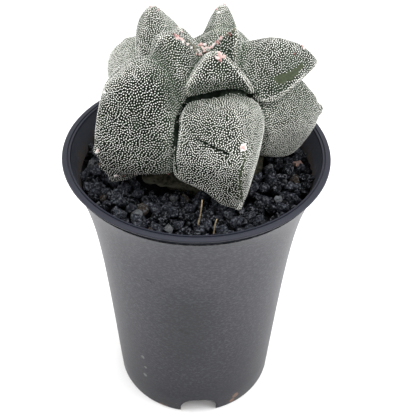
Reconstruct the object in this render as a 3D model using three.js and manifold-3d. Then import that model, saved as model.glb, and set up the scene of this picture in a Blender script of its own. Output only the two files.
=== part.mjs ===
// A bishop's cap cactus of the kikko form, standing in a tall flared nursery pot.
// Millimetres, +Z up. The origin is on the pot's axis, on the surface that the pot stands on,
// and -Y faces the viewer. The pot holds a potting mix under a layer of black grit. The
// plant is one piece: five ribs that cross furrows have cut into wedge-shaped tubercles,
// round a sunken crown, on a broad corky base that tapers into its root.
import * as THREE from "three";
import {
  CylinderGeometry,
  ExtrudeGeometry,
  IcosahedronGeometry,
  LatheGeometry,
  OctahedronGeometry,
} from "three";
import { mergeVertices } from "three/addons/utils/BufferGeometryUtils.js";
import Module from "manifold-3d";

const wasm = await Module();
wasm.setup();

// The pot: a blow-moulded shell with a flared mouth, a beaded rim and a notched foot ring.
const POT_HEIGHT = 124;
const FOOT_RADIUS = 34.7;
const NECK_RADIUS = 41.9; // where the straight taper would end at the rim's height
const FLARE = 9.4; // what the flared mouth adds to that at the rim
const FLARE_LENGTH = 18.8;
const WALL = 1.2;
const RIM_WIDTH = 3.3;
const RIM_TAPER = 5; // depth over which the thick rim thins to the wall
const RIM_ROUNDING = 0.6;
const RIM_GROOVE = 2.3; // from the rim's outer edge to the middle of the groove in its top
const GROOVE_WIDTH = 0.6;
const GROOVE_DEPTH = 0.5;
const FOOT_CHAMFER = [0.4, 0.6]; // across the foot's outer edge and up it
const FLOOR_TOP = 7.6;
const FLOOR_THICKNESS = 1.4;
const NOTCH_COUNT = 4;
const NOTCH_WIDTH = 16.5;
const NOTCH_HEIGHT = 8.6;
const NOTCH_CORNER = 5;
const NOTCH_DEPTH = 6.5; // how far it reaches in from the foot's outer face
const NOTCH_TURN = 4; // degrees from the front, to the right
const NOTCH_OVERCUT = 4; // how far the cut starts outside the foot
const POT_SIDES = 56;

// The fill: mix, then grit on top, with a hole for the base and root through both.
const SEAT_GAP = 0.35; // left between pieces that touch
const GRIT_LEVEL = 115.2; // top of the grit's body, under its uppermost grains
const GRIT_BED = 9;
const GRAIN_PITCH = 5.1;
const GRAIN_JITTER = 0.25; // of a grain's place to either side, in pitches
const GRAIN_RADIUS = 3.7;
const GRAIN_SIZES = [0.8, 1.15]; // of the radius
const GRAIN_WIDTHS = [0.75, 1]; // of a grain, to its length
const GRAIN_THICKNESSES = [0.6, 0.85];
const GRAIN_SINK = 0.22; // share of its radius by which a grain's middle lies below the level
const GRAIN_CLEARANCE = 0.9; // of its corners from the plant
const GRAIN_INSET = 1.2; // of the outermost grains' middles from the pot's wall
const GRAIN_SEED = 20;

// The plant stands a little off the pot's axis.
const PLANT_X = 3;
const PLANT_Y = 7;

// The body that the tubercles grow from, its corky base and its root, as [radius, height].
const CORE = [
  [0, 84],
  [4, 88],
  [8, 100],
  [16, 108],
  [26, 113],
  [28.6, 117],
  [27.6, 121],
  [23, 131],
  [22, 141],
  [21, 149],
  [18, 156],
  [12, 160.5],
  [0, 162],
];
const CORE_SIDES = 40;
const BASE_TOP = 120; // the fill's hole follows the core up to here

// The furrows between the ribs, by the angle that each faces, from the viewer's side round to
// the right. A tubercle keeps between the furrow named first and the one named second.
const FURROWS = { frontLeft: -20, front: 0, frontRight: 56, right: 128, back: 200, left: 270 };
const FURROW_OPENS = 146; // height above which the tubercles lean away from the furrows

// The tubercles. turn is the angle that one faces. ridge lists [radius, height] from its
// crown side to its lowest point. falls says how far both flanks drop back from each stretch
// of that ridge for each millimetre across it, and left and right give each flank its own.
// half is how far the flanks reach across, opens how far they lean away from the furrows, and
// soft the rounding of the edges. areoles lie on the ridge.
const TUBERCLES = [
  {
    name: "front cap",
    turn: 12,
    between: ["frontLeft", "frontRight"],
    ridge: [[-6, 157], [14.9, 170.4], [18.4, 155], [8, 151]],
    left: [0.81, 0.11, 0.05],
    right: [0.71, 0.01, -0.05],
    half: 14,
    opens: 0,
    soft: 0.5,
    areoles: [[13.7, 168.8]],
  },
  {
    name: "front lobe",
    turn: 20,
    between: ["frontLeft", "frontRight"],
    ridge: [
      [2, 155],
      [24, 157.4],
      [33.5, 156.6],
      [38.6, 148],
      [41.4, 144.6],
      [41.4, 134],
      [38, 118.2],
      [20, 121],
    ],
    left: [0.03, 0.14, 0.28, 0.34, 0.37, 0.4, 0.21],
    right: [0.14, 0.25, 0.37, 0.42, 0.38, 0.44, 1],
    half: 20,
    opens: 0.1,
    soft: 0.9,
    areoles: [[38.6, 148], [37.6, 132.6]],
  },
  {
    name: "left cap",
    turn: 303,
    between: ["left", "frontLeft"],
    ridge: [[-4, 159], [17, 175.4], [20.6, 165.4], [21.4, 150], [10, 148]],
    falls: [0.66, 0.3, 0.2, 0],
    half: 15,
    opens: 0,
    soft: 0.8,
    areoles: [[13.8, 173.4]],
  },
  {
    name: "left lobe",
    turn: 303,
    between: ["left", "frontLeft"],
    ridge: [[6, 160], [27, 165.4], [40, 159.4], [46, 146], [46.4, 132], [36, 116.6], [20, 119]],
    falls: [0.2, 0.36, 0.46, 0.52, 0.52, 0.3],
    half: 22,
    opens: 0.35,
    soft: 1.8,
    areoles: [[44.1, 149.6], [46, 135.9], [40.9, 123.6]],
  },
  {
    name: "old corky tubercle",
    turn: 320,
    between: ["left", "front"],
    ridge: [[8, 125], [22, 124], [31.5, 119.5], [33, 116.4], [20, 115.9]],
    falls: [0.2, 0.3, 0.3, 0],
    half: 15,
    opens: 0,
    soft: 0.7,
    areoles: [],
  },
  {
    name: "right cap",
    turn: 92,
    between: ["frontRight", "right"],
    ridge: [[-4, 159], [10.4, 171.2], [13.8, 161], [15, 150], [6, 148]],
    falls: [0.74, 0.4, 0.3, 0],
    half: 13,
    opens: 0,
    soft: 0.5,
    areoles: [[4.3, 166.9]],
  },
  {
    name: "right beak",
    turn: 92,
    between: ["frontRight", "right"],
    ridge: [[2, 163], [24, 168], [34, 165.2], [39.7, 161], [35, 153], [14, 148]],
    left: [0.6, 0.64, 0.6, 0.24, 0.1],
    right: [0.4, 0.44, 0.4, 0.04, -0.1],
    half: 15,
    opens: 0,
    soft: 0.6,
    areoles: [[34, 164.9]],
  },
  {
    name: "right lobe",
    turn: 92,
    between: ["frontRight", "right"],
    ridge: [[6, 152], [35, 151], [44, 140], [43.6, 131], [35.4, 116.8], [20, 119]],
    falls: [0.2, 0.44, 0.56, 0.56, 0.3],
    half: 20,
    opens: 0.1,
    soft: 1,
    areoles: [[41.2, 143.6], [43.8, 136]],
  },
  {
    name: "back right inner cap",
    turn: 160,
    between: ["right", "back"],
    ridge: [[-4, 158], [11, 165.8], [19, 165], [22, 156], [10, 150]],
    falls: [0.7, 0.7, 0.3, 0],
    half: 12,
    opens: 0,
    soft: 0.7,
    areoles: [[9, 164.8]],
  },
  {
    name: "back right cap",
    turn: 164,
    between: ["right", "back"],
    ridge: [[8, 160], [17.6, 171.6], [20.8, 171.4], [27, 165], [28, 155], [12, 150]],
    falls: [1.1, 1.2, 1.1, 0.4, 0],
    half: 12,
    opens: 0,
    soft: 0.8,
    areoles: [[18.8, 171.6]],
  },
  {
    name: "back right lobe",
    turn: 164,
    between: ["right", "back"],
    ridge: [[6, 157], [33, 156], [43.4, 145], [44, 134], [35, 117], [20, 119]],
    falls: [0.2, 0.42, 0.54, 0.54, 0.3],
    half: 20,
    opens: 0.2,
    soft: 1,
    areoles: [[40.4, 148.2], [44, 137]],
  },
  {
    name: "back left inner cap",
    turn: 236,
    between: ["back", "left"],
    ridge: [[-4, 158], [12.4, 168.6], [17, 163], [19, 152], [8, 150]],
    falls: [0.76, 0.5, 0.3, 0],
    half: 12,
    opens: 0,
    soft: 0.6,
    areoles: [[11.8, 167.8]],
  },
  {
    name: "back left cap",
    turn: 236,
    between: ["back", "left"],
    ridge: [[11, 158], [24.9, 173.6], [30.8, 165.6], [31.6, 156], [12, 150]],
    left: [0.5, 0.6, 0.2, 0],
    right: [0.9, 1, 0.6, 0.2],
    half: 12,
    opens: 0,
    soft: 0.9,
    areoles: [[24.2, 172.6]],
  },
  {
    name: "back left lobe",
    turn: 236,
    between: ["back", "left"],
    ridge: [[6, 157], [36, 156.4], [46.6, 146], [48, 138], [35, 117], [20, 119]],
    left: [0.21, 0.43, 0.53, 0.53, 0.25],
    right: [0.31, 0.53, 0.63, 0.63, 0.35],
    half: 20,
    opens: 0.2,
    soft: 1,
    areoles: [[43, 149.6], [47.7, 139.6]],
  },
];
const FURROW_OVERLAP = 0.4; // how far a tubercle's wall passes the furrow's middle
const FLANK_BEND = 16; // distance across a flank over which its fall doubles
const RIDGE_ROUNDING = 1.1;
const TUBERCLE_FLOOR = 115.9; // no tubercle reaches lower
const TUBERCLE_BACK = 6; // how far one reaches behind the plant's axis
const HEART_OUT = 0.72; // of the mean radius of a ridge, to the point that its mesh grows from
const HEART_DROP = 1.5; // of that point below the ridge's mean height
const TUBERCLE_STEPS = 4.2; // of the mesh along a ridge, in the half width of its flanks
const TUBERCLE_TILTS = [0, 9, 20, 32, 47, 66]; // its rows to either side, in degrees
const BACK_STEP = 0.8; // radians between its columns round the back
const FARTHEST = 90; // no surface of a tubercle is farther from its heart
const HALVINGS = 26; // of that distance in the search for the surface

// Areoles, the small felted cushions on the ridges, and the felted tuft in the crown.
const AREOLE_RADIUS = 1.5;
const AREOLE_SINK = 0.8;
const CROWN_TUFT = [
  [-1.6, 1.4, 162.6],
  [1.3, 2.2, 162.9],
  [2.6, -0.6, 162.8],
  [-3, -1.2, 162.9],
  [0.2, -2.2, 162.7],
];
const CROWN_TUFT_RADIUS = 1.7;

// Dry stalks that stand in the grit, by their foot and tip.
const STALKS = [
  { foot: [0.4, -36], tip: [2.8, -36.9, 130] },
  { foot: [7.2, -39.8], tip: [8, -40.6, 124.6] },
];
const STALK_RADIUS = 0.4;
const STALK_DEPTH = 4;

function radians(degrees) {
  return (degrees * Math.PI) / 180;
}

// A repeatable random number from 0 to 1.
function randomFrom(seed) {
  let state = seed;
  return () => {
    state = (state + 0x6d2b79f5) | 0;
    let t = Math.imul(state ^ (state >>> 15), 1 | state);
    t = (t + Math.imul(t ^ (t >>> 7), 61 | t)) ^ t;
    return ((t ^ (t >>> 14)) >>> 0) / 4294967296;
  };
}

function solidOf(geometry) {
  const bare = new THREE.BufferGeometry();
  bare.setAttribute("position", geometry.getAttribute("position"));
  if (geometry.index) bare.setIndex(geometry.index);
  const merged = mergeVertices(bare, 1e-4);
  return new wasm.Manifold(
    new wasm.Mesh({
      numProp: 3,
      vertProperties: new Float32Array(merged.getAttribute("position").array),
      triVerts: new Uint32Array(merged.index.array),
    }),
  );
}

function geometryOf(solid) {
  const mesh = solid.getMesh();
  const geometry = new THREE.BufferGeometry();
  geometry.setAttribute(
    "position",
    new THREE.BufferAttribute(new Float32Array(mesh.vertProperties), 3),
  );
  geometry.setIndex(new THREE.BufferAttribute(new Uint32Array(mesh.triVerts), 1));
  geometry.computeVertexNormals();
  return geometry;
}

// A body of revolution about +Z. The [radius, height] points run up its outside.
function turned(profile, sides) {
  const points = profile.map(([r, z]) => new THREE.Vector2(r, z));
  return new LatheGeometry(points, sides).rotateX(Math.PI / 2);
}

function potOuterRadius(z) {
  const taper = FOOT_RADIUS + ((NECK_RADIUS - FOOT_RADIUS) * z) / POT_HEIGHT;
  return taper + FLARE * Math.exp(-(POT_HEIGHT - z) / FLARE_LENGTH);
}

function potInnerRadius(z) {
  const thickening = (RIM_WIDTH - WALL) * Math.exp(-(POT_HEIGHT - z) / RIM_TAPER);
  return potOuterRadius(z) - WALL - thickening;
}

// Heights up the wall, closer together towards the flared mouth.
function wallHeights(low, high, count) {
  const heights = [];
  for (let i = 0; i <= count; i++) {
    heights.push(low + (high - low) * (1 - (1 - i / count) ** 2));
  }
  return heights;
}

function potBody() {
  const rim = potOuterRadius(POT_HEIGHT);
  const shoulder = POT_HEIGHT - RIM_ROUNDING;
  const floorUnder = FLOOR_TOP - FLOOR_THICKNESS;
  const groove = rim - RIM_GROOVE;
  const outside = wallHeights(FOOT_CHAMFER[1], shoulder, 8).map((z) => [potOuterRadius(z), z]);
  const inside = wallHeights(FLOOR_TOP, shoulder, 6).map((z) => [potInnerRadius(z), z]);
  const profile = [
    [0, floorUnder],
    [potInnerRadius(floorUnder), floorUnder],
    [FOOT_RADIUS - WALL, 0],
    [FOOT_RADIUS - FOOT_CHAMFER[0], 0],
    ...outside,
    [rim - RIM_ROUNDING, POT_HEIGHT],
    [groove + GROOVE_WIDTH / 2, POT_HEIGHT],
    [groove, POT_HEIGHT - GROOVE_DEPTH],
    [groove - GROOVE_WIDTH / 2, POT_HEIGHT],
    ...inside.reverse(),
    [0, FLOOR_TOP],
  ];
  return solidOf(turned(profile, POT_SIDES));
}

// An arched notch through the foot ring, from outside the foot to past the floor's edge.
function notch(turn) {
  const half = NOTCH_WIDTH / 2;
  const springing = NOTCH_HEIGHT - NOTCH_CORNER;
  const arch = new THREE.Shape();
  arch.moveTo(-half, -NOTCH_HEIGHT);
  arch.lineTo(half, -NOTCH_HEIGHT);
  arch.lineTo(half, springing);
  arch.absarc(half - NOTCH_CORNER, springing, NOTCH_CORNER, 0, Math.PI / 2);
  arch.absarc(NOTCH_CORNER - half, springing, NOTCH_CORNER, Math.PI / 2, Math.PI);
  arch.closePath();
  const length = NOTCH_DEPTH + NOTCH_OVERCUT;
  const cut = new ExtrudeGeometry(arch, { depth: length, bevelEnabled: false, curveSegments: 5 });
  cut.rotateX(Math.PI / 2);
  cut.translate(0, -(FOOT_RADIUS - NOTCH_DEPTH), 0);
  cut.rotateZ(radians(turn));
  return solidOf(cut);
}

function makePot() {
  let pot = potBody();
  for (let i = 0; i < NOTCH_COUNT; i++) {
    pot = pot.subtract(notch(NOTCH_TURN + (360 / NOTCH_COUNT) * i));
  }
  return pot;
}

// What a piece of the fill needs: the pot's inside between two heights, less the seat's gap.
function fillBody(low, high) {
  const heights = wallHeights(low, high, 3);
  const wall = heights.map((z) => [potInnerRadius(z) - SEAT_GAP, z]);
  return solidOf(turned([[0, low], ...wall, [0, high]], POT_SIDES));
}

// The hole in the fill for the plant's base and root, wider than these by the seat's gap.
function rootHole() {
  const below = CORE.filter(([, z]) => z <= BASE_TOP);
  const profile = below.map(([r, z]) => [r + SEAT_GAP, z - SEAT_GAP]);
  profile[0][0] = 0;
  profile.push([0, profile[profile.length - 1][1]]);
  const hole = turned(profile, CORE_SIDES);
  hole.translate(PLANT_X, PLANT_Y, 0);
  return solidOf(hole);
}

function makeMix() {
  const top = GRIT_LEVEL - GRIT_BED - SEAT_GAP;
  return fillBody(FLOOR_TOP + SEAT_GAP, top).subtract(rootHole());
}

// Planes of a tubercle: the outward normal in its ridge's plane, and the falls at each side.
function facesOf({ ridge, falls, left = falls, right = falls }) {
  return left.map((fall, i) => {
    const out = ridge[i + 1][0] - ridge[i][0];
    const up = ridge[i + 1][1] - ridge[i][1];
    const length = Math.hypot(out, up);
    const [nOut, nUp] = [-up / length, out / length];
    const d = nOut * ridge[i][0] + nUp * ridge[i][1];
    return { nOut, nUp, d, left: fall, right: right[i] };
  });
}

const SHAPED = TUBERCLES.map((t) => {
  const left = radians(FURROWS[t.between[0]] - t.turn);
  const right = radians(FURROWS[t.between[1]] - t.turn);
  return {
    ...t,
    faces: facesOf(t),
    leftSin: Math.sin(left),
    leftCos: Math.cos(left),
    rightSin: Math.sin(right),
    rightCos: Math.cos(right),
  };
});

// Below zero inside a tubercle and above zero outside it, in the frame of its own ridge.
function tubercleField(t, out, across, z) {
  const side = Math.hypot(across, RIDGE_ROUNDING) - RIDGE_ROUNDING;
  const drop = side + (side * side) / FLANK_BEND;
  const values = t.faces.map(
    (f) => f.nOut * out + f.nUp * z - f.d + (across > 0 ? f.right : f.left) * drop,
  );
  const lean = t.opens * Math.max(z - FURROW_OPENS, 0) - FURROW_OVERLAP;
  values.push(out * t.leftSin - across * t.leftCos + lean);
  values.push(across * t.rightCos - out * t.rightSin + lean);
  values.push(side - t.half);
  values.push(-out - TUBERCLE_BACK);
  values.push(TUBERCLE_FLOOR - z);
  const top = Math.max(...values);
  let sum = 0;
  for (const value of values) sum += Math.exp((value - top) / t.soft);
  return top + t.soft * Math.log(sum);
}

// A point in a tubercle's own frame, placed in the part's frame.
function placed(turn, out, across, z) {
  const [sin, cos] = [Math.sin(radians(turn)), Math.cos(radians(turn))];
  return [PLANT_X + out * sin + across * cos, PLANT_Y - out * cos + across * sin, z];
}

// How far a point of the part lies outside the plant, or a little more where a flank is steep.
function plantClearance(px, py, z) {
  const [x, y] = [px - PLANT_X, py - PLANT_Y];
  const above = CORE.findIndex(([, height]) => height > z);
  const [low, high] = [CORE[above - 1], CORE[above]];
  const coreRadius = low[0] + ((high[0] - low[0]) * (z - low[1])) / (high[1] - low[1]);
  let least = Math.hypot(x, y) - coreRadius;
  for (const t of SHAPED) {
    const [sin, cos] = [Math.sin(radians(t.turn)), Math.cos(radians(t.turn))];
    least = Math.min(least, tubercleField(t, x * sin - y * cos, x * cos + y * sin, z));
  }
  return least;
}

// A point well inside a tubercle, from which all of its surface is seen.
function heartOf(t) {
  const out = t.ridge.reduce((sum, point) => sum + point[0], 0) / t.ridge.length;
  const z = t.ridge.reduce((sum, point) => sum + point[1], 0) / t.ridge.length;
  return [out * HEART_OUT, z - HEART_DROP];
}

// How far a tubercle's surface lies from its heart along a direction.
function reach(t, heart, out, across, up) {
  let [inner, outer] = [0, FARTHEST];
  for (let i = 0; i < HALVINGS; i++) {
    const middle = (inner + outer) / 2;
    const value = tubercleField(t, heart[0] + out * middle, across * middle, heart[1] + up * middle);
    if (value > 0) outer = middle;
    else inner = middle;
  }
  return inner;
}

// The angles about a tubercle's heart at which its ridge is sampled, and a few round its back.
function ridgeAngles(t, heart) {
  const angles = [];
  const add = (out, z) => {
    let angle = Math.atan2(z - heart[1], out - heart[0]);
    while (angles.length && angle > angles[angles.length - 1]) angle -= 2 * Math.PI;
    angles.push(angle);
  };
  for (let i = 0; i + 1 < t.ridge.length; i++) {
    const [a, b] = [t.ridge[i], t.ridge[i + 1]];
    const length = Math.hypot(b[0] - a[0], b[1] - a[1]);
    const steps = Math.max(1, Math.round((length * TUBERCLE_STEPS) / t.half));
    for (let k = 0; k < steps; k++) {
      add(a[0] + ((b[0] - a[0]) * k) / steps, a[1] + ((b[1] - a[1]) * k) / steps);
    }
  }
  add(...t.ridge[t.ridge.length - 1]);
  const last = angles[angles.length - 1];
  const back = 2 * Math.PI - (angles[0] - last);
  const steps = Math.max(2, Math.ceil(back / BACK_STEP));
  for (let k = 1; k < steps; k++) angles.push(last - (back * k) / steps);
  return angles;
}

// A tubercle as a closed mesh. Its columns cross the ridge and its middle row lies on it.
function tubercleBody(t) {
  const heart = heartOf(t);
  const angles = ridgeAngles(t, heart);
  const tilts = [...TUBERCLE_TILTS.slice(1).reverse().map((tilt) => -tilt), ...TUBERCLE_TILTS];
  const positions = [];
  const put = (out, across, up) => {
    const far = reach(t, heart, out, across, up);
    positions.push(...placed(t.turn, heart[0] + out * far, across * far, heart[1] + up * far));
  };
  put(0, -1, 0);
  for (const tilt of tilts) {
    const [sin, cos] = [Math.sin(radians(tilt)), Math.cos(radians(tilt))];
    for (const angle of angles) put(cos * Math.cos(angle), sin, cos * Math.sin(angle));
  }
  put(0, 1, 0);

  const count = angles.length;
  const last = 1 + tilts.length * count;
  const index = (row, column) => 1 + row * count + (column % count);
  const faces = [];
  for (let c = 0; c < count; c++) {
    faces.push(0, index(0, c + 1), index(0, c));
    faces.push(last, index(tilts.length - 1, c), index(tilts.length - 1, c + 1));
    for (let row = 0; row + 1 < tilts.length; row++) {
      const [a, b] = [index(row, c), index(row, c + 1)];
      const [d, e] = [index(row + 1, c), index(row + 1, c + 1)];
      faces.push(a, b, e, a, e, d);
    }
  }
  const geometry = new THREE.BufferGeometry();
  geometry.setAttribute("position", new THREE.Float32BufferAttribute(positions, 3));
  geometry.setIndex(faces);
  return solidOf(geometry);
}

// A felted cushion, sunk into the ridge at the point nearest to the one given.
function areole(t, [out, z]) {
  const heart = heartOf(t);
  const length = Math.hypot(out - heart[0], z - heart[1]);
  const [towardsOut, towardsUp] = [(out - heart[0]) / length, (z - heart[1]) / length];
  const far = reach(t, heart, towardsOut, 0, towardsUp) - AREOLE_SINK;
  const pad = new IcosahedronGeometry(AREOLE_RADIUS, 0);
  pad.translate(...placed(t.turn, heart[0] + towardsOut * far, 0, heart[1] + towardsUp * far));
  return solidOf(pad);
}

function makeCactus() {
  const core = turned(CORE, CORE_SIDES);
  core.translate(PLANT_X, PLANT_Y, 0);
  let body = solidOf(core);
  for (const t of SHAPED) {
    body = body.add(tubercleBody(t));
    for (const point of t.areoles) body = body.add(areole(t, point));
  }
  for (const [x, y, z] of CROWN_TUFT) {
    const tuft = new IcosahedronGeometry(CROWN_TUFT_RADIUS, 0);
    body = body.add(solidOf(tuft.translate(PLANT_X + x, PLANT_Y + y, z)));
  }
  return body;
}

// A straight round rod between two points.
function rod(from, to, radius, sides) {
  const [start, end] = [new THREE.Vector3(...from), new THREE.Vector3(...to)];
  const way = end.clone().sub(start);
  const shape = new CylinderGeometry(radius, radius, way.length(), sides);
  const turn = new THREE.Quaternion().setFromUnitVectors(
    new THREE.Vector3(0, 1, 0),
    way.clone().normalize(),
  );
  shape.applyQuaternion(turn);
  const middle = start.add(end).multiplyScalar(0.5);
  return shape.translate(middle.x, middle.y, middle.z);
}

// The point of a stalk's line at a height.
function stalkAt({ foot, tip }, z) {
  const share = (z - GRIT_LEVEL) / (tip[2] - GRIT_LEVEL);
  return [foot[0] + (tip[0] - foot[0]) * share, foot[1] + (tip[1] - foot[1]) * share, z];
}

function makeStalk(stalk) {
  return rod(stalkAt(stalk, GRIT_LEVEL - STALK_DEPTH), stalk.tip, STALK_RADIUS, 6);
}

// One grain of grit, a lopsided octahedron in a random attitude, or nothing where it would
// come too near to the plant.
function grain(x, y, random) {
  const from = ([low, high]) => low + (high - low) * random();
  const radius = GRAIN_RADIUS * from(GRAIN_SIZES);
  const shape = new OctahedronGeometry(radius, 0);
  shape.scale(1, from(GRAIN_WIDTHS), from(GRAIN_THICKNESSES));
  shape.rotateX(random() * Math.PI);
  shape.rotateY(random() * Math.PI);
  shape.rotateZ(random() * Math.PI);
  shape.translate(x, y, GRIT_LEVEL - radius * GRAIN_SINK);
  const position = shape.getAttribute("position");
  for (let i = 0; i < position.count; i++) {
    const clearance = plantClearance(position.getX(i), position.getY(i), position.getZ(i));
    if (clearance < GRAIN_CLEARANCE) return null;
  }
  return solidOf(shape);
}

// The grit's uppermost grains, on a jittered triangular lattice.
function grains() {
  const random = randomFrom(GRAIN_SEED);
  const jitter = () => (2 * random() - 1) * GRAIN_JITTER;
  const found = [];
  const rowStep = GRAIN_PITCH * Math.sqrt(0.75);
  const reachOut = Math.ceil(potInnerRadius(GRIT_LEVEL) / rowStep);
  for (let row = -reachOut; row <= reachOut; row++) {
    for (let column = -reachOut; column <= reachOut; column++) {
      const x = (column + (row % 2 ? 0.5 : 0) + jitter()) * GRAIN_PITCH;
      const y = (row + jitter()) * rowStep;
      const inside = Math.hypot(x, y) < potInnerRadius(GRIT_LEVEL) - GRAIN_INSET;
      const one = inside ? grain(x, y, random) : null;
      if (one) found.push(one);
    }
  }
  return found;
}

function makeGrit() {
  let grit = fillBody(GRIT_LEVEL - GRIT_BED, GRIT_LEVEL);
  for (const one of grains()) grit = grit.add(one);
  grit = grit.intersect(fillBody(GRIT_LEVEL - GRIT_BED, GRIT_LEVEL + 2 * GRAIN_RADIUS));
  grit = grit.subtract(rootHole());
  for (const stalk of STALKS) {
    const from = stalkAt(stalk, GRIT_LEVEL - STALK_DEPTH - SEAT_GAP);
    const to = stalkAt(stalk, GRIT_LEVEL + GRAIN_RADIUS + 1);
    grit = grit.subtract(solidOf(rod(from, to, STALK_RADIUS + SEAT_GAP, 8)));
  }
  return grit;
}

const group = new THREE.Group();
function add(name, geometry, color, roughness) {
  const material = new THREE.MeshStandardMaterial({ color, roughness, metalness: 0 });
  const mesh = new THREE.Mesh(geometry, material);
  mesh.name = name;
  group.add(mesh);
}
add("pot", geometryOf(makePot()), 0x3c3e45, 0.5);
add("potting_mix", geometryOf(makeMix()), 0x4a3629, 0.95);
add("grit", geometryOf(makeGrit()), 0x2b2c30, 0.9);
add("cactus", geometryOf(makeCactus()), 0x7c8a78, 0.8);
STALKS.forEach((stalk, i) => add("dry_stalk_" + (i + 1), makeStalk(stalk), 0xb59f7c, 0.8));

export default group;
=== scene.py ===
import math

import bpy
import numpy as np
from mathutils import Matrix, Vector, kdtree, noise


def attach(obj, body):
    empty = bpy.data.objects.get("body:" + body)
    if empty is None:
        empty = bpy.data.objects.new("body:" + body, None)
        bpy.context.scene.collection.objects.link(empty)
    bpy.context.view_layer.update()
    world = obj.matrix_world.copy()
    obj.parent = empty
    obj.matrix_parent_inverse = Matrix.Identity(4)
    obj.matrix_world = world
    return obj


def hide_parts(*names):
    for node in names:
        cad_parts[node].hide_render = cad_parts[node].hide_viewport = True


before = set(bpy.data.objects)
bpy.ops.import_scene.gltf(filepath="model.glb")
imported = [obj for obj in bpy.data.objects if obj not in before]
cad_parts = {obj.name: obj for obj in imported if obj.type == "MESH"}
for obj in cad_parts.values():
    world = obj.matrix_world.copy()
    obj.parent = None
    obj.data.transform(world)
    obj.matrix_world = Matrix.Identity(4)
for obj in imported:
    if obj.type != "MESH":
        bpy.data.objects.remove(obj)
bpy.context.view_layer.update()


# The view: a short telephoto above the pot's front, a little to its right, that looks down at
# the crown. It is rolled by a degree and a half.
MM = 0.001
VIEW_AIM = Vector((4.88, 0, 93.26)) * MM
VIEW_DISTANCE = 327.2 * MM
VIEW_ELEVATION = math.radians(41.9)
VIEW_ROLL = math.radians(1.42)
VIEW_LENS = 69.23
VIEW_SENSOR = 36
VIEW_CLIP = 10 * MM

view_tilt = Matrix.Rotation(math.pi / 2 - VIEW_ELEVATION, 4, "X")
view_turn = view_tilt @ Matrix.Rotation(VIEW_ROLL, 4, "Z")
bpy.ops.object.camera_add()
camera = bpy.context.object
camera.rotation_euler = view_turn.to_euler()
camera.location = VIEW_AIM + view_turn.col[2].to_3d() * VIEW_DISTANCE
camera.data.sensor_width = VIEW_SENSOR
camera.data.lens = VIEW_LENS
camera.data.clip_start = VIEW_CLIP
bpy.context.scene.camera = camera


# The studio: a matt pale floor, an even white surround, and three large soft lamps, one overhead
# and one on each side. The floor is the first piece with a material, so the two classes that
# materials are made with stand here.
class Value:
    """A node's output. Arithmetic on it adds Math nodes."""

    def __init__(self, finish, socket):
        self.finish = finish
        self.socket = socket

    def __add__(self, other):
        return self.finish.maths("ADD", self, other)

    def __sub__(self, other):
        return self.finish.maths("SUBTRACT", self, other)

    def __rsub__(self, other):
        return self.finish.maths("SUBTRACT", other, self)

    def __mul__(self, other):
        return self.finish.maths("MULTIPLY", self, other)

    __radd__ = __add__
    __rmul__ = __mul__


class Finish:
    """A material. Its nodes come from node(), and its arithmetic from Value."""

    def __init__(self, name, roughness=0.6, **constants):
        self.material = bpy.data.materials.new(name)
        self.material.use_nodes = True
        self.tree = self.material.node_tree
        self.shader = self.tree.nodes["Principled BSDF"]
        self.shader.inputs["Roughness"].default_value = roughness
        for socket, value in constants.items():
            self.shader.inputs[socket.replace("_", " ")].default_value = value

    def feed(self, socket, value):
        """Sets a socket's own value, or links another node's output to it."""
        if isinstance(value, Value):
            self.tree.links.new(value.socket, socket)
        elif hasattr(value, "__len__") and len(value) == 3 and socket.type == "RGBA":
            socket.default_value = (*value, 1)
        else:
            socket.default_value = value

    def node(self, kind, settings=None, inputs=None, output=0):
        made = self.tree.nodes.new("ShaderNode" + kind)
        for name, value in (settings or {}).items():
            setattr(made, name, value)
        for name, value in (inputs or {}).items():
            self.feed(made.inputs[name], value)
        return Value(self, made.outputs[output])

    def maths(self, operation, *values):
        return self.node("Math", {"operation": operation}, dict(enumerate(values)))

    def at(self):
        return self.node("TexCoord", output="Object")

    def stored(self, attribute):
        return self.node("Attribute", {"attribute_name": attribute}, output="Fac")

    def heights(self):
        """The height over the floor, in millimetres."""
        return self.node("SeparateXYZ", None, {0: self.at()}, 2) * (1 / MM)

    def noise(self, size, detail=3, roughness=0.6, at=None):
        """Noise from 0 to 1 whose largest lumps are about that many millimetres wide."""
        inputs = {"Vector": at or self.at(), "Scale": 1 / (size * MM)}
        inputs |= {"Detail": detail, "Roughness": roughness}
        return self.node("TexNoise", None, inputs)

    def ramp(self, value, low, high):
        """0 where the value is below low, 1 above high, and smooth between them."""
        inputs = {"Value": value, "From Min": low, "From Max": high}
        return self.node("MapRange", {"interpolation_type": "SMOOTHSTEP"}, inputs)

    def mix(self, share, first, second):
        """The first colour, with a share of the second over it."""
        return self.node("Mix", {"data_type": "RGBA"}, {0: share, 6: first, 7: second}, 2)

    def layers(self, colour, coats):
        """A colour under coats, each of which is a share of the surface and its own colour."""
        for share, coat in coats:
            colour = self.mix(share, colour, coat)
        return colour

    def spot(self, place, size):
        """1 at a place and 0 beyond a distance from it, both in millimetres."""
        inputs = {0: self.at(), 1: Vector(place) * MM}
        return 1 - self.ramp(self.node("VectorMath", {"operation": "DISTANCE"}, inputs, 1), 0, size * MM)

    def bump(self, height, depth, strength=1):
        """A Bump node for a height from 0 to 1 that stands for depth millimetres."""
        inputs = {"Height": height, "Distance": depth * MM, "Strength": strength}
        return self.node("Bump", None, inputs)

    def finish(self, **sockets):
        """Feeds the shader's sockets and returns the material."""
        for socket, value in sockets.items():
            self.feed(self.shader.inputs[socket.replace("_", " ")], value)
        return self.material


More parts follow.
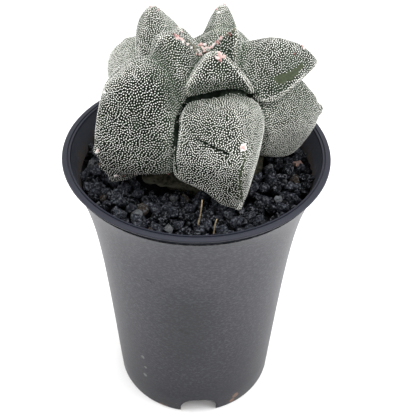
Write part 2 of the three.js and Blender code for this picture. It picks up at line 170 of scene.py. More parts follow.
FLOOR_SIZE = 6
FLOOR_COLOUR = (0.95, 0.95, 0.95)
FLOOR_ROUGHNESS = 0.9
SURROUND_COLOUR = (1, 1, 1, 1)
SURROUND_LIGHT = 1
LAMPS = {
    "overhead lamp": {"place": (0.1, 0.1, 1), "size": 1.1, "power": 6.6},
    "left lamp": {"place": (-0.85, 0.15, 0.5), "size": 0.7, "power": 5.4},
    "right lamp": {"place": (0.8, -0.1, 0.65), "size": 0.7, "power": 6.6},
}

bpy.ops.mesh.primitive_plane_add(size=FLOOR_SIZE)
floor = bpy.context.object
floor.name = "floor"
floor.data.materials.append(Finish("pale floor", FLOOR_ROUGHNESS).finish(Base_Color=FLOOR_COLOUR))

world = bpy.data.worlds.new("white surround")
bpy.context.scene.world = world
world.use_nodes = True
surround = world.node_tree.nodes["Background"]
surround.inputs["Color"].default_value = SURROUND_COLOUR
surround.inputs["Strength"].default_value = SURROUND_LIGHT

for name, settings in LAMPS.items():
    bpy.ops.object.light_add(type="AREA", location=settings["place"])
    lamp = bpy.context.object
    lamp.name = name
    lamp.data.size = settings["size"]
    lamp.data.energy = settings["power"]
    lamp.rotation_euler = (lamp.location - VIEW_AIM).to_track_quat("Z", "Y").to_euler()
bpy.context.scene.view_settings.view_transform = "Standard"


# The pot: a thin shell of dark grey plastic with a flared mouth, blown in a mould. Its rim is a
# thick band with a groove in its top and an undercut below it, and four arched drain notches go
# through the foot. The wall is scuffed and speckled, and dried soil clings to the rim and foot.
POT_HEIGHT = 124
FOOT_RADIUS = 34.7
NECK_RADIUS = 41.9
FLARE = 9.4
FLARE_LENGTH = 18.8
WALL = 1.2
RIM_WIDTH = 3.3
RIM_TAPER = 5
RIM_BAND = 1.3
UNDERCUT_HEIGHT = 2.5
UNDERCUT_DEPTH = 1.4
RIM_GROOVE_AT = 2.3
RIM_GROOVE_WIDTH = 0.6
RIM_GROOVE_DEPTH = 0.5
FLOOR_TOP = 7.6
FLOOR_THICKNESS = 1.4
POT_EDGE = 0.5
POT_SIDES = 160
OUTSIDE_RINGS = 22
INSIDE_RINGS = 20
POT_SMOOTHING = math.radians(32)
NOTCHES = 4
NOTCH_WIDTH = 16
NOTCH_HEIGHT = 9.2
NOTCH_CORNER = 6.4
NOTCH_CORNER_STEPS = 8
NOTCH_DEPTH = 6.5
NOTCH_OVERLAP = 4
NOTCH_TURN = 4.7


def outer_radius(z):
    taper = FOOT_RADIUS + (NECK_RADIUS - FOOT_RADIUS) * z / POT_HEIGHT
    return taper + FLARE * math.exp(-(POT_HEIGHT - z) / FLARE_LENGTH)


def inner_radius(z):
    return outer_radius(z) - WALL - (RIM_WIDTH - WALL) * math.exp(-(POT_HEIGHT - z) / RIM_TAPER)


def add_primitive(name, kind, **sizes):
    bpy.ops.object.select_all(action="DESELECT")
    getattr(bpy.ops.mesh, f"primitive_{kind}_add")(**sizes)
    piece = bpy.context.object
    piece.name = piece.data.name = name
    return piece


def select(piece, others=()):
    """Selects a piece, with others or alone, and makes it the active one."""
    bpy.ops.object.select_all(action="DESELECT")
    for chosen in [*others, piece]:
        chosen.select_set(True)
    bpy.context.view_layer.objects.active = piece


def edit(piece, action="SELECT"):
    """Goes into edit mode on one piece, with all or nothing of it selected."""
    select(piece)
    bpy.ops.object.mode_set(mode="EDIT")
    bpy.ops.mesh.select_all(action=action)


def leave_edit():
    bpy.ops.object.mode_set(mode="OBJECT")


def apply_modifier(piece, kind, **settings):
    select(piece)
    modifier = piece.modifiers.new(kind, kind)
    for name, value in settings.items():
        setattr(modifier, name, value)
    bpy.ops.object.modifier_apply(modifier=modifier.name)


def cut_out(piece, cutter):
    """Subtracts a cutter from a piece, and removes the cutter."""
    apply_modifier(piece, "BOOLEAN", operation="DIFFERENCE", object=cutter, solver="EXACT")
    bpy.data.objects.remove(cutter)


def turn_up(name, profile, sides, centre=(0, 0)):
    """Draws a ring up through a profile of (radius, height) and closes its two ends."""
    radius, height = profile[0]
    place = (centre[0] * MM, centre[1] * MM, height * MM)
    piece = add_primitive(name, "circle", vertices=sides, radius=radius * MM, location=place)
    bpy.ops.object.transform_apply(location=True)
    edit(piece)
    bpy.ops.mesh.edge_face_add()
    bpy.ops.mesh.select_all(action="SELECT")
    bpy.ops.mesh.select_mode(type="EDGE")
    for (r0, z0), (r1, z1) in zip(profile, profile[1:]):
        bpy.ops.mesh.extrude_edges_move(TRANSFORM_OT_translate={"value": (0, 0, (z1 - z0) * MM)})
        pivot = (centre[0] * MM, centre[1] * MM, z1 * MM)
        bpy.ops.transform.resize(value=(r1 / r0, r1 / r0, 1), center_override=pivot)
    bpy.ops.mesh.edge_face_add()
    bpy.ops.mesh.select_all(action="SELECT")
    bpy.ops.mesh.normals_make_consistent(inside=False)
    leave_edit()
    return piece


def eased(low, high, count):
    """Heights from low to high, closer together towards the flared mouth."""
    return [low + (high - low) * (1 - (1 - i / count) ** 2) for i in range(count + 1)]


def pot_profile():
    """From under the floor round the foot, up the outside, over the rim and down the inside. The
    small steps at its rounded edges are shares of POT_EDGE."""
    rim = outer_radius(POT_HEIGHT)
    groove = rim - RIM_GROOVE_AT
    under_rim = POT_HEIGHT - RIM_BAND
    neck = under_rim - UNDERCUT_HEIGHT
    under_floor = FLOOR_TOP - FLOOR_THICKNESS
    outside = [(outer_radius(z), z) for z in eased(2 * POT_EDGE, neck - 0.4 * POT_EDGE, OUTSIDE_RINGS)]
    inside_from, inside_to = FLOOR_TOP + 1.6 * POT_EDGE, POT_HEIGHT - 0.8 * POT_EDGE
    inside = [(inner_radius(z), z) for z in eased(inside_from, inside_to, INSIDE_RINGS)]
    return [
        (inner_radius(under_floor) - 1.2 * POT_EDGE, under_floor),
        (inner_radius(under_floor) - 0.2 * POT_EDGE, under_floor - POT_EDGE),
        (FOOT_RADIUS - WALL, 0.4 * POT_EDGE),
        (FOOT_RADIUS - WALL + 0.4 * POT_EDGE, 0),
        (FOOT_RADIUS - POT_EDGE, 0),
        (FOOT_RADIUS - 0.3 * POT_EDGE, 0.6 * POT_EDGE),
        *outside,
        (outer_radius(neck) - 0.8 * UNDERCUT_DEPTH, neck),
        (outer_radius(neck) - UNDERCUT_DEPTH, neck + 0.6 * POT_EDGE),
        (outer_radius(under_rim) - UNDERCUT_DEPTH, under_rim - 0.4 * POT_EDGE),
        (outer_radius(under_rim) - POT_EDGE, under_rim),
        (rim - 0.7 * POT_EDGE, under_rim + 0.3 * POT_EDGE),
        (rim - 0.1 * POT_EDGE, under_rim + 1.2 * POT_EDGE),
        (rim, POT_HEIGHT - 1.2 * POT_EDGE),
        (rim - 0.3 * POT_EDGE, POT_HEIGHT - 0.4 * POT_EDGE),
        (rim - POT_EDGE, POT_HEIGHT),
        (groove + RIM_GROOVE_WIDTH / 2, POT_HEIGHT - 0.04 * POT_EDGE),
        (groove + RIM_GROOVE_WIDTH / 4, POT_HEIGHT - RIM_GROOVE_DEPTH),
        (groove - RIM_GROOVE_WIDTH / 4, POT_HEIGHT - RIM_GROOVE_DEPTH),
        (groove - RIM_GROOVE_WIDTH / 2, POT_HEIGHT - 0.1 * POT_EDGE),
        (rim - RIM_WIDTH + 0.4 * POT_EDGE, POT_HEIGHT - 0.16 * POT_EDGE),
        *inside[::-1],
        (inner_radius(FLOOR_TOP) - 1.6 * POT_EDGE, FLOOR_TOP),
    ]


def arched_cutter(turn):
    """A block with two rounded upper edges that reaches from outside the foot to its inside."""
    width, height = NOTCH_WIDTH * MM, 2 * NOTCH_HEIGHT * MM
    length = (NOTCH_DEPTH + NOTCH_OVERLAP) * MM
    cutter = add_primitive("cutter", "cube", size=1)
    edit(cutter)
    bpy.ops.transform.resize(value=(width, length, height))
    leave_edit()
    edit(cutter, "DESELECT")
    leave_edit()
    for edge in cutter.data.edges:
        ends = [cutter.data.vertices[i].co for i in edge.vertices]
        edge.select = all(end.z > 0 for end in ends) and abs(ends[0].x - ends[1].x) < MM
    bpy.ops.object.mode_set(mode="EDIT")
    bpy.ops.mesh.bevel(offset=NOTCH_CORNER * MM, segments=NOTCH_CORNER_STEPS)
    leave_edit()
    outwards = Matrix.Translation((0, -(FOOT_RADIUS - NOTCH_DEPTH) * MM - length / 2, 0))
    cutter.data.transform(Matrix.Rotation(math.radians(turn), 4, "Z") @ outwards)
    return cutter


def coordinates(piece):
    """A piece's vertices in metres, one in each row."""
    found = np.empty(len(piece.data.vertices) * 3)
    piece.data.vertices.foreach_get("co", found)
    return found.reshape(-1, 3)


def store(piece, name, values):
    """Keeps a number for each vertex, for the piece's material."""
    attribute = piece.data.attributes.new(name, "FLOAT", "POINT")
    attribute.data.foreach_set("value", np.asarray(values, np.float32))


pot = turn_up("pot_shell", pot_profile(), POT_SIDES)
for notch in range(NOTCHES):
    cut_out(pot, arched_cutter(NOTCH_TURN + 360 / NOTCHES * notch))
inside_wall = []
for x, y, z in coordinates(pot) / MM:
    inside_wall.append(math.hypot(x, y) < (outer_radius(z) + inner_radius(z)) / 2)
store(pot, "inside", inside_wall)
bpy.ops.object.shade_smooth_by_angle(angle=POT_SMOOTHING)

# Its plastic is painted darkest at the foot and greyest near the mouth, which is painted shade on the
# lower wall. Heights are in millimetres, and each spot and painted shade is a place and a radius.
SHADED_FOOT_PLASTIC = (0.0025, 0.0025, 0.008)
LIT_MOUTH_PLASTIC = (0.033, 0.032, 0.041)
CLOUD_GREY = (0.019, 0.020, 0.025)
SCUFF_GREY = (0.12, 0.125, 0.12)
RIM_GREY = (0.017, 0.019, 0.03)
UNDERCUT_PAINTED_SHADE = (0.002, 0.002, 0.003)
INSIDE_GREY = (0.065, 0.072, 0.094)
SPECKLE_GREY = (0.080, 0.083, 0.092)
PAINTED_SHADE_GREY = (0.012, 0.014, 0.016)
RIM_SOIL = (0.12, 0.095, 0.075)
FOOT_SOIL = (0.19, 0.12, 0.08)
WALL_SHADE_FROM = (0, 105)
SPECKLES_FROM = (-40, 115)
UNDERCUT_SHADE_FROM = (119.4, 119.9)
RIM_FACE_FROM = (123.1, 123.5)
SOIL_FROM = 118
SOIL_FADE = 0.05
SPLASH_FADE = 0.035
SPECKLE_STRETCH = (0.55, 0.55, 1)
MARKS = {
    "dark scrape": {
        "colour": (0.006, 0.006, 0.008),
        "share": 0.7,
        "edge": (0.25, 0.4),
        "spots": [
            ((-17.1, -37.7, 89.9), 1.6),
            ((-15.9, -38.3, 89.6), 1.6),
            ((-14.7, -38.6, 89.2), 1.5),
            ((-4.7, -38.3, 61.5), 2.6),
            ((-2.2, -38.4, 60.3), 2.8),
        ],
    },
    "pale scrape": {
        "colour": (0.15, 0.155, 0.145),
        "share": 0.6,
        "edge": (0.25, 0.4),
        "spots": [
            ((-21.6, -29.6, 32.4), 2.2),
            ((-20.6, -29.7, 25.3), 1.8),
            ((-21.1, -28.9, 18.8), 2.4),
        ],
    },
    "caked soil": {
        "colour": (0.20, 0.11, 0.07),
        "share": 0.7,
        "edge": (0.2, 0.4),
        "spots": [((19.4, -29.2, 5.5), 3.5), ((17.8, -29.7, 2.6), 3)],
    },
}
# Painted shade: darker spots over the middle of the wall's front.
PAINTED_SHADES = [((-1, -39.8, 76), 20), ((-3, -38.5, 61), 22), ((-3, -37.5, 46), 18)]
PAINTED_SHADE_SHARE = 0.5

plastic = Finish("dark grey plastic", 0.42, Specular_IOR_Level=0.2)
height = plastic.heights()
inside = plastic.stored("inside")
on_rim = plastic.ramp(height, *RIM_FACE_FROM)
# Painted shade: the undercut below the rim is painted near black.
under_rim = plastic.ramp(height, *UNDERCUT_SHADE_FROM) * (1 - on_rim)
cloud = plastic.ramp(plastic.noise(size=38, detail=2), 0.35, 0.75)
scuffs = plastic.ramp(plastic.noise(size=6, detail=6, roughness=0.75), 0.62, 0.74)
scuffs = scuffs * plastic.ramp(plastic.noise(size=21, detail=2), 0.5, 0.62)
soil_lumps = plastic.noise(size=5, detail=5, roughness=0.7)
soil = inside * plastic.ramp(soil_lumps - (height - SOIL_FROM) * SOIL_FADE, 0.5, 0.66)
splash_lumps = plastic.noise(size=4, detail=5, roughness=0.75)
splash = plastic.ramp(splash_lumps - height * SPLASH_FADE, 0.5, 0.62)
across_grain = plastic.node("Mapping", None, {"Vector": plastic.at(), "Scale": SPECKLE_STRETCH})
speckle_lumps = plastic.noise(size=0.7, detail=3, roughness=0.8, at=across_grain)
speckle = plastic.ramp(speckle_lumps, 0.46, 0.64) * (1 - on_rim)
worn_edge = plastic.noise(size=2, detail=5, roughness=0.75)
coats = [
    (cloud * 0.5, CLOUD_GREY),
    (scuffs * 0.5, SCUFF_GREY),
    (on_rim * 0.8, RIM_GREY),
    (under_rim, UNDERCUT_PAINTED_SHADE),
    (inside * (1 - on_rim), INSIDE_GREY),
    (soil * 0.75, RIM_SOIL),
    (speckle * plastic.ramp(height, *SPECKLES_FROM) * 0.7, SPECKLE_GREY),
]
for mark in MARKS.values():
    for place, size in mark["spots"]:
        worn = plastic.ramp(plastic.spot(place, size) * worn_edge, *mark["edge"])
        coats.append((worn * mark["share"], mark["colour"]))
for place, size in PAINTED_SHADES:
    coats.append((plastic.spot(place, size) * PAINTED_SHADE_SHARE, PAINTED_SHADE_GREY))
coats.append((splash * 0.6, FOOT_SOIL))
# The wall's colour is painted darker towards the foot, as painted shade.
shaded_wall_colour = plastic.mix(plastic.ramp(height, *WALL_SHADE_FROM), SHADED_FOOT_PLASTIC, LIT_MOUTH_PLASTIC)
fine_grain = plastic.noise(size=0.9, detail=3, roughness=0.7)
pot.data.materials.append(
    plastic.finish(
        Base_Color=plastic.layers(shaded_wall_colour, coats),
        Roughness=0.4 + soil * 0.4 + scuffs * 0.15 + (fine_grain - 0.5) * 0.1,
        Normal=plastic.bump(fine_grain, 0.05, 0.5),
    )
)
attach(pot, "root")
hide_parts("pot")


# The potting mix: dark fibrous crumbs that fill the pot under the grit. They show only in the
# drain notches, so the mix keeps its own solid and gets a crumbly finish.
DAMP_CRUMB = (0.018, 0.011, 0.007)
DRY_CRUMB = (0.13, 0.085, 0.05)
CRUMB_SIZE = 2.2
CRUMB_DEPTH = 1.2

crumbs = Finish("potting mix", 0.95)
crumb = crumbs.noise(size=CRUMB_SIZE, detail=6, roughness=0.75)
crumbs.finish(
    Base_Color=crumbs.mix(crumbs.ramp(crumb, 0.35, 0.7), DAMP_CRUMB, DRY_CRUMB),
    Normal=crumbs.bump(crumb, CRUMB_DEPTH),
)
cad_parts["potting_mix"].data.materials.clear()
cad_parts["potting_mix"].data.materials.append(crumbs.material)


# The plant: one fleshy body. Ribs round a sunken crown are cut across into caps, a beak and
# lobes, each with a ridge and two flanks that fall away from it, on a corky base. Each is a ball
# that is drawn out to its own planes, and all are fused into one skin with the core.
PLANT_CENTRE = (3, 7)
CORE = [
    (4, 88),
    (8, 100),
    (16, 108),
    (23, 113),
    (24, 117),
    (23.4, 121),
    (22.4, 131),
    (22, 141),
    (21, 149),
    (18, 156),
    (12, 160.5),
    (2, 162),
]
CORE_SIDES = 96
FURROWS = {"front left": -20, "front": 0, "front right": 56, "right": 128, "back": 200, "left": 270}
FURROW_OPENS = 146
FURROW_OVERLAP = 0.4
FLANK_CURL = 0.0625
RIDGE_ROUNDING = 1.1
TUBERCLE_FLOOR = 115.9
TUBERCLE_BACK = 6
HEART_OUT = 0.72
HEART_DROP = 1.5
HEART_REACH = 90
HALVINGS = 26

# A tubercle's ridge is a convex line of points, out from the plant's middle and up, in the plane
# that its turn in degrees gives. The other lists say how steeply its flanks fall from each stretch
# of the ridge, and how that fall curls. It ends at the furrows that it stands between.
TUBERCLES = {
    "front cap": {
        "turn": 12,
        "between": ("front left", "front right"),
        "ridge": [(-6, 157.6), (15.2, 171.4), (19.8, 163.5), (17.6, 154.5), (8, 151)],
        "left": [0.92, 0.2, 0.06, 0.05],
        "right": [0.92, 0.14, 0, -0.05],
        "curl": [0.03, 0.03, 0, 0],
        "rounding": 2.6,
        "half": 14,
        "soft": 0.5,
    },
    "front lobe": {
        "turn": 20,
        "between": ("front left", "front right"),
        "ridge": [
            (2, 154.2),
            (24, 156.5),
            (33.5, 156.2),
            (38.6, 148),
            (41.4, 144.6),
            (41.4, 134),
            (38, 118.2),
            (20, 121),
        ],
        "left": [0.03, 0.14, 0.28, 0.34, 0.37, 0.26, 0.2],
        "right": [0.14, 0.3, 0.5, 0.6, 0.6, 0.95, 0.7],
        "curl": [0.06, 0.06, 0.06, 0.06, 0.05, 0.04, 0],
        "toe": (5.5, 7.5),
        "half": 20,
        "opens": 0.1,
        "soft": 0.9,
    },
    "left cap": {
        "turn": 303,
        "between": ("left", "front left"),
        "ridge": [(-4, 160), (13, 174.6), (19.6, 175), (22.2, 166), (22, 150), (10, 148)],
        "left": [0.7, 0.8, 0.4, 0.24, 0],
        "curl": [0.03, 0.03, 0.06, 0.06, 0.06],
        "rounding": 2.4,
        "half": 15,
        "soft": 1.5,
    },
    "left lobe": {
        "turn": 303,
        "between": ("left", "front left"),
        "ridge": [
            (6, 161),
            (26, 168),
            (41.5, 160.4),
            (45, 149),
            (47.6, 136),
            (41.4, 118.8),
            (20, 119.2),
        ],
        "left": [0.2, 0.36, 0.46, 0.52, 0.52, 0.3],
        "right": [0.12, 0.28, 0.46, 0.52, 0.52, 0.06],
        "toe": (6.5, 3.4),
        "half": 22,
        "opens": 0.35,
        "soft": 1.6,
    },
    "old corky tubercle": {
        "turn": 311,
        "between": ("left", "front"),
        "ridge": [(8, 125), (21, 123), (29, 119.5), (31, 116.4), (20, 115.9)],
        "left": [0.2, 0.3, 0.3, 0],
        "half": 10,
        "soft": 0.7,
    },
    "right cap": {
        "turn": 92,
        "between": ("front right", "right"),
        "ridge": [(-4, 159.6), (10.5, 172.6), (14.1, 161.5), (15, 150), (6, 148)],
        "left": [0.74, 0.4, 0.3, 0],
        "half": 13,
        "soft": 0.5,
    },
    "right beak": {
        "turn": 92,
        "between": ("front right", "right"),
        "ridge": [
            (2, 163),
            (24, 168),
            (34, 165.2),
            (37.5, 162.6),
            (41.2, 158.2),
            (37.4, 154.2),
            (31, 149.6),
            (14, 148),
        ],
        "left": [0.6, 0.64, 0.6, 0.56, 0.5, 0.35, 0.1],
        "right": [0.4, 0.44, 0.4, 0.36, 0.3, 0.1, -0.1],
        "curl": [0.06, 0.06, 0.06, 0.03, -0.01, -0.01, 0],
        "half": 15,
        "soft": 0.6,
    },
    "right lobe": {
        "turn": 92,
        "between": ("front right", "right"),
        "ridge": [(6, 152), (35, 151), (44, 140), (43.6, 131), (35.4, 116.8), (20, 119)],
        "left": [0.2, 0.44, 0.56, 0.56, 0.3],
        "half": 20,
        "opens": 0.1,
        "soft": 1,
    },
    "back right inner cap": {
        "turn": 160,
        "between": ("right", "back"),
        "ridge": [(-4, 158), (11, 165.8), (19, 165), (22, 156), (10, 150)],
        "left": [0.7, 0.7, 0.3, 0],
        "half": 12,
        "soft": 0.7,
    },
    "back right cap": {
        "turn": 164,
        "between": ("right", "back"),
        "ridge": [(8, 160), (17.6, 171.6), (20.8, 171.4), (27, 165), (28, 155), (12, 150)],
        "left": [3, 3.2, 3, 1.2, 0.3],
        "curl": [-0.05, -0.05, -0.05, -0.03, 0],
        "rounding": 4.8,
        "half": 13,
        "soft": 0.8,
    },
    "back right lobe": {
        "turn": 164,
        "between": ("right", "back"),
        "ridge": [(6, 157), (33, 156), (43.4, 145), (44, 134), (35, 117), (20, 119)],
        "left": [0.2, 0.42, 0.54, 0.54, 0.3],
        "half": 20,
        "opens": 0.2,
        "soft": 1,
    },
    "back left inner cap": {
        "turn": 236,
        "between": ("back", "left"),
        "ridge": [(-4, 158), (12.4, 168.6), (17, 163), (19, 152), (8, 150)],
        "left": [0.76, 0.5, 0.3, 0],
        "half": 12,
        "soft": 0.6,
    },
    "back left cap": {
        "turn": 236,
        "between": ("back", "left"),
        "ridge": [(11, 158), (24.9, 173.6), (30.8, 165.6), (31.6, 156), (12, 150)],
        "left": [0.8, 0.9, 0.3, 0],
        "right": [1.2, 1.3, 0.8, 0.2],
        "curl": [-0.01, -0.01, 0.03, 0],
        "rounding": 3.4,
        "half": 12,
        "soft": 0.9,
    },
    "back left lobe": {
        "turn": 236,
        "between": ("back", "left"),
        "ridge": [(6, 157), (36, 156.4), (46.6, 146), (48, 138), (35, 117), (20, 119)],
        "left": [0.21, 0.43, 0.53, 0.53, 0.25],
        "right": [0.31, 0.53, 0.63, 0.63, 0.35],
        "half": 20,
        "opens": 0.2,
        "soft": 1,
    },
}
CROWN_KNOBS = [
    (1.4, 8.4, 162.6),
    (4.3, 9.2, 162.9),
    (5.6, 6.4, 162.8),
    (0, 5.8, 162.9),
    (3.2, 4.8, 162.7),
]
CROWN_KNOB_RADIUS = 1.9
SKIN_SEGMENTS = 120
SKIN_RINGS = 60
SKIN_VOXEL = 0.565
SKIN_SMOOTHING = {"factor": 0.5, "iterations": 1}
LUMP_SHIFT = (7.3, 3.1, 5.7)


def plane_values(tubercle, out, across, up):
    """How far points lie outside each plane of a tubercle's ridge, and outside its other sides."""
    rounding = tubercle.get("rounding", RIDGE_ROUNDING)
    side = np.hypot(across, rounding) - rounding
    lefts, rights = tubercle["left"], tubercle.get("right", tubercle["left"])
    curls = tubercle.get("curl", [FLANK_CURL] * len(lefts))
    faces = []
    for a, b, left, right, curl in zip(tubercle["ridge"], tubercle["ridge"][1:], lefts, rights, curls):
        length = math.dist(a, b)
        away_out, away_up = (a[1] - b[1]) / length, (b[0] - a[0]) / length
        fall = np.where(across > 0, right, left) * (side + curl * side**2)
        faces.append(away_out * (out - a[0]) + away_up * (up - a[1]) + fall)
    rise, width = tubercle.get("toe", (0, 1))
    faces[-1] = faces[-1] + rise * (1 - np.exp(-((side / width) ** 4)))
    left, right = [math.radians(FURROWS[name] - tubercle["turn"]) for name in tubercle["between"]]
    lean = tubercle.get("opens", 0) * np.maximum(up - FURROW_OPENS, 0) - FURROW_OVERLAP
    return [
        *faces,
        out * math.sin(left) - across * math.cos(left) + lean,
        across * math.cos(right) - out * math.sin(right) + lean,
        side - tubercle["half"],
        -out - TUBERCLE_BACK,
        TUBERCLE_FLOOR - up,
    ]


def tubercle_field(tubercle, out, across, up):
    """Below zero inside a tubercle and above zero outside it, in the frame of its own ridge."""
    values = np.stack(plane_values(tubercle, out, across, up))
    top = values.max(axis=0)
    return top + tubercle["soft"] * np.log(np.exp((values - top) / tubercle["soft"]).sum(axis=0))


def heart_of(tubercle):
    """A point (out, up) well inside a tubercle."""
    out, up = np.mean(tubercle["ridge"], axis=0)
    return out * HEART_OUT, up - HEART_DROP


def reach(tubercle, ways):
    """How far the surface lies from the heart along unit vectors (out, across, up)."""
    out, up = heart_of(tubercle)
    near, far = np.zeros(len(ways)), np.full(len(ways), float(HEART_REACH))
    for _ in range(HALVINGS):
        middle = (near + far) / 2
        step = ways.T * middle
        outside = tubercle_field(tubercle, out + step[0], step[1], up + step[2]) > 0
        far = np.where(outside, middle, far)
        near = np.where(outside, near, middle)
    return near


def placed(tubercle, out, across, up):
    """Points of a tubercle's own frame, in the part's frame."""
    sin, cos = math.sin(math.radians(tubercle["turn"])), math.cos(math.radians(tubercle["turn"]))
    x = PLANT_CENTRE[0] + out * sin + across * cos
    y = PLANT_CENTRE[1] - out * cos + across * sin
    return np.stack([x, y, up + 0 * x], axis=-1)


def own_frame(tubercle, points):
    """Points of the part's frame, as (out, across, up) from a tubercle's foot."""
    sin, cos = math.sin(math.radians(tubercle["turn"])), math.cos(math.radians(tubercle["turn"]))
    x, y = points[:, 0] - PLANT_CENTRE[0], points[:, 1] - PLANT_CENTRE[1]
    return x * sin - y * cos, x * cos + y * sin, points[:, 2]


def on_surface(tubercle, ways):
    """The surface points of a tubercle along unit vectors from its heart."""
    out, up = heart_of(tubercle)
    step = ways.T * reach(tubercle, ways)
    return placed(tubercle, out + step[0], step[1], up + step[2])


def set_coordinates(piece, points):
    piece.data.vertices.foreach_set("co", np.asarray(points, np.float32).ravel())
    piece.data.update()


def make_tubercle(name, tubercle):
    """A ball about the tubercle's heart, drawn out to its surface. Its poles lie on the flanks."""
    ball = add_primitive(name, "uv_sphere", segments=SKIN_SEGMENTS, ring_count=SKIN_RINGS, radius=1)
    ball_points = coordinates(ball)
    ways = np.stack([ball_points[:, 0], -ball_points[:, 2], ball_points[:, 1]], axis=-1)
    ways /= np.linalg.norm(ways, axis=1, keepdims=True)
    set_coordinates(ball, on_surface(tubercle, ways) * MM)
    return ball


def lumps(points, size, seed):
    """Smooth noise from -1 to 1 at points in millimetres, whose lumps are about size wide."""
    shift = Vector([seed * step for step in LUMP_SHIFT])
    return np.array([noise.noise(Vector(point) / size + shift) for point in points])


def core_field(points):
    """How far points lie outside the core."""
    radius = np.interp(points[:, 2], [z for _, z in CORE], [r for r, _ in CORE])
    return np.hypot(points[:, 0] - PLANT_CENTRE[0], points[:, 1] - PLANT_CENTRE[1]) - radius


def plant_fields(points):
    """For each tubercle, and the core last, how far points lie outside it."""
    fields = [tubercle_field(each, *own_frame(each, points)) for each in TUBERCLES.values()]
    return np.stack([*fields, core_field(points)])


skin = turn_up("cactus_skin", CORE, CORE_SIDES, PLANT_CENTRE)
parts = [make_tubercle(name, tubercle) for name, tubercle in TUBERCLES.items()]
for knob in CROWN_KNOBS:
    sizes = {"radius": CROWN_KNOB_RADIUS * MM, "location": Vector(knob) * MM}
    parts.append(add_primitive("knob", "ico_sphere", subdivisions=3, **sizes))
    bpy.ops.object.transform_apply(location=True)
select(skin, parts)
bpy.ops.object.join()
apply_modifier(skin, "REMESH", mode="VOXEL", voxel_size=SKIN_VOXEL * MM)
apply_modifier(skin, "SMOOTH", **SKIN_SMOOTHING)


# The plant's markings: gentle swellings, creases that draw in where tubercles meet, folds,
# furrows, nubs under the areoles and a wrinkled corky base. Bare strips and spots carry no wool,
# and it is sparse, coarse or dense in other places. Each line runs through points of the skin.
SWELL = {"size": 9, "height": 0.3}
DIMPLE = {"size": 3.1, "height": 0.09}
WRINKLE = {"size": 2.6, "height": 1}
WRINKLE_STRETCH = (1, 1, 0.5)
CREASE_DEPTH = 1.2
CREASE_WIDTH = 0.8
CREASE_BEND = 0.08
CREASE_SPREAD = 4
BEND_SPREAD = 2
SHALLOW_CREASES = {
    ("left cap", "left lobe"): 0.25,
    ("front cap", "left cap"): 0.3,
    ("front cap", "front lobe"): 0.3,
    ("front cap", "left lobe"): 0.3,
    ("left cap", "back left inner cap"): 0.4,
    ("back left cap", "back left lobe"): 0.3,
    ("back right cap", "back right lobe"): 0.3,
    ("right cap", "right beak"): 0.4,
}
RIDGE_BEND = (0.05, 0.16)
GROOVES = {
    "fold in the front lobe": {
        "line": [
            (0.7, -25.5, 147.2),
            (3.6, -27.1, 146.8),
            (6.5, -28.6, 146.1),
            (9, -29.6, 145.5),
            (11.1, -30.3, 145.1),
        ],
        "width": 0.6,
        "depth": 1,
    },
    "front cap's left foot": {
        "line": [(-3.6, -11.6, 153), (0.2, -11.9, 154.8), (4.1, -11.2, 155.7)],
        "width": 0.5,
        "depth": 0.5,
    },
    "front cap's right foot": {
        "line": [
            (4.1, -11.2, 155.7),
            (7.9, -10.6, 156.5),
            (12.1, -9.5, 156.5),
            (15.5, -8.5, 155.6),
            (18.7, -5, 152.5),
        ],
        "width": 0.8,
        "depth": 1.4,
    },
    "fold in the left lobe": {
        "line": [(-24.3, -21.3, 152.9), (-15.3, -23.2, 145.5), (-12, -23.5, 142.7)],
        "width": 1.5,
        "depth": 0.35,
    },
    "furrow between the two lobes": {
        "line": [
            (-5.4, -14.9, 149.9),
            (-6.4, -20, 148.4),
            (-6.8, -22.2, 144.8),
            (-7.1, -23.7, 140.7),
            (-6.8, -25.2, 133.1),
        ],
        "width": 1,
        "depth": 0.9,
    },
}
GROOVE_SHADE_DEPTH = 0.8

# The bare strip runs down the front lobe's edge. A spot is a place and its radius. Paleness is
# given for a tubercle's left and right flanks: above zero the wool is denser and the skin paler,
# and below zero it is coarser, with darker gaps. A band adds its share to it near a line.
STRIP = [
    (16.4, -29.8, 145.8),
    (16.8, -30.9, 143.2),
    (16.3, -31.6, 140.7),
    (15.6, -31.8, 137.3),
    (15.8, -31.4, 133.5),
    (16.3, -30.7, 128.7),
    (16.7, -29.6, 124.5),
]
STRIP_WIDTH = 0.95
STRIP_BARENESS = 0.7
RAGGED = {"size": 1.5, "height": 0.5}
STRIP_RAGGEDNESS = 0.5
BARE_EDGE = 0.4
BARE_SPOTS = [
    (28.5, -2.9, 157.5, 1.6),
    (30.5, -2.3, 157.7, 2.1),
    (32.6, -1.3, 158.1, 2.1),
    (34.5, 0, 158.9, 1.8),
    (36, 1.4, 159.7, 1.4),
    (37, 2.4, 160.3, 1),
    (12.2, 6.2, 170.7, 0.9),
    (13.1, 5.2, 169.6, 0.9),
]
SPARSE_SPOTS = [
    (-14, -12.8, 164, 2.5),
    (-10.5, -14, 160.5, 3),
    (-8.6, -15.5, 155.8, 3),
    (0, -12.7, 158.6, 2.6),
    (4, -11, 157.2, 2),
    (-20.4, -22, 150, 2),
    (26, -3.5, 158, 2),
    (34, 1, 162, 5),
    (29, -4, 154.5, 4),
    (40, 0, 143, 6),
    (-9, -6, 168, 5),
    (-21, 14, 171, 5),
    (-1.5, -17, 152.6, 2.5),
    (12.5, -9.5, 160, 3),
    (15.5, -8.8, 157, 2.5),
    (39, 3, 160.5, 3),
    (2, -12, 159.5, 3),
    (6, -10.8, 160, 3),
    (8, -9.8, 164, 3),
]
SPARSE_GREEN = 0.4
FURROW_REACH = 3.5
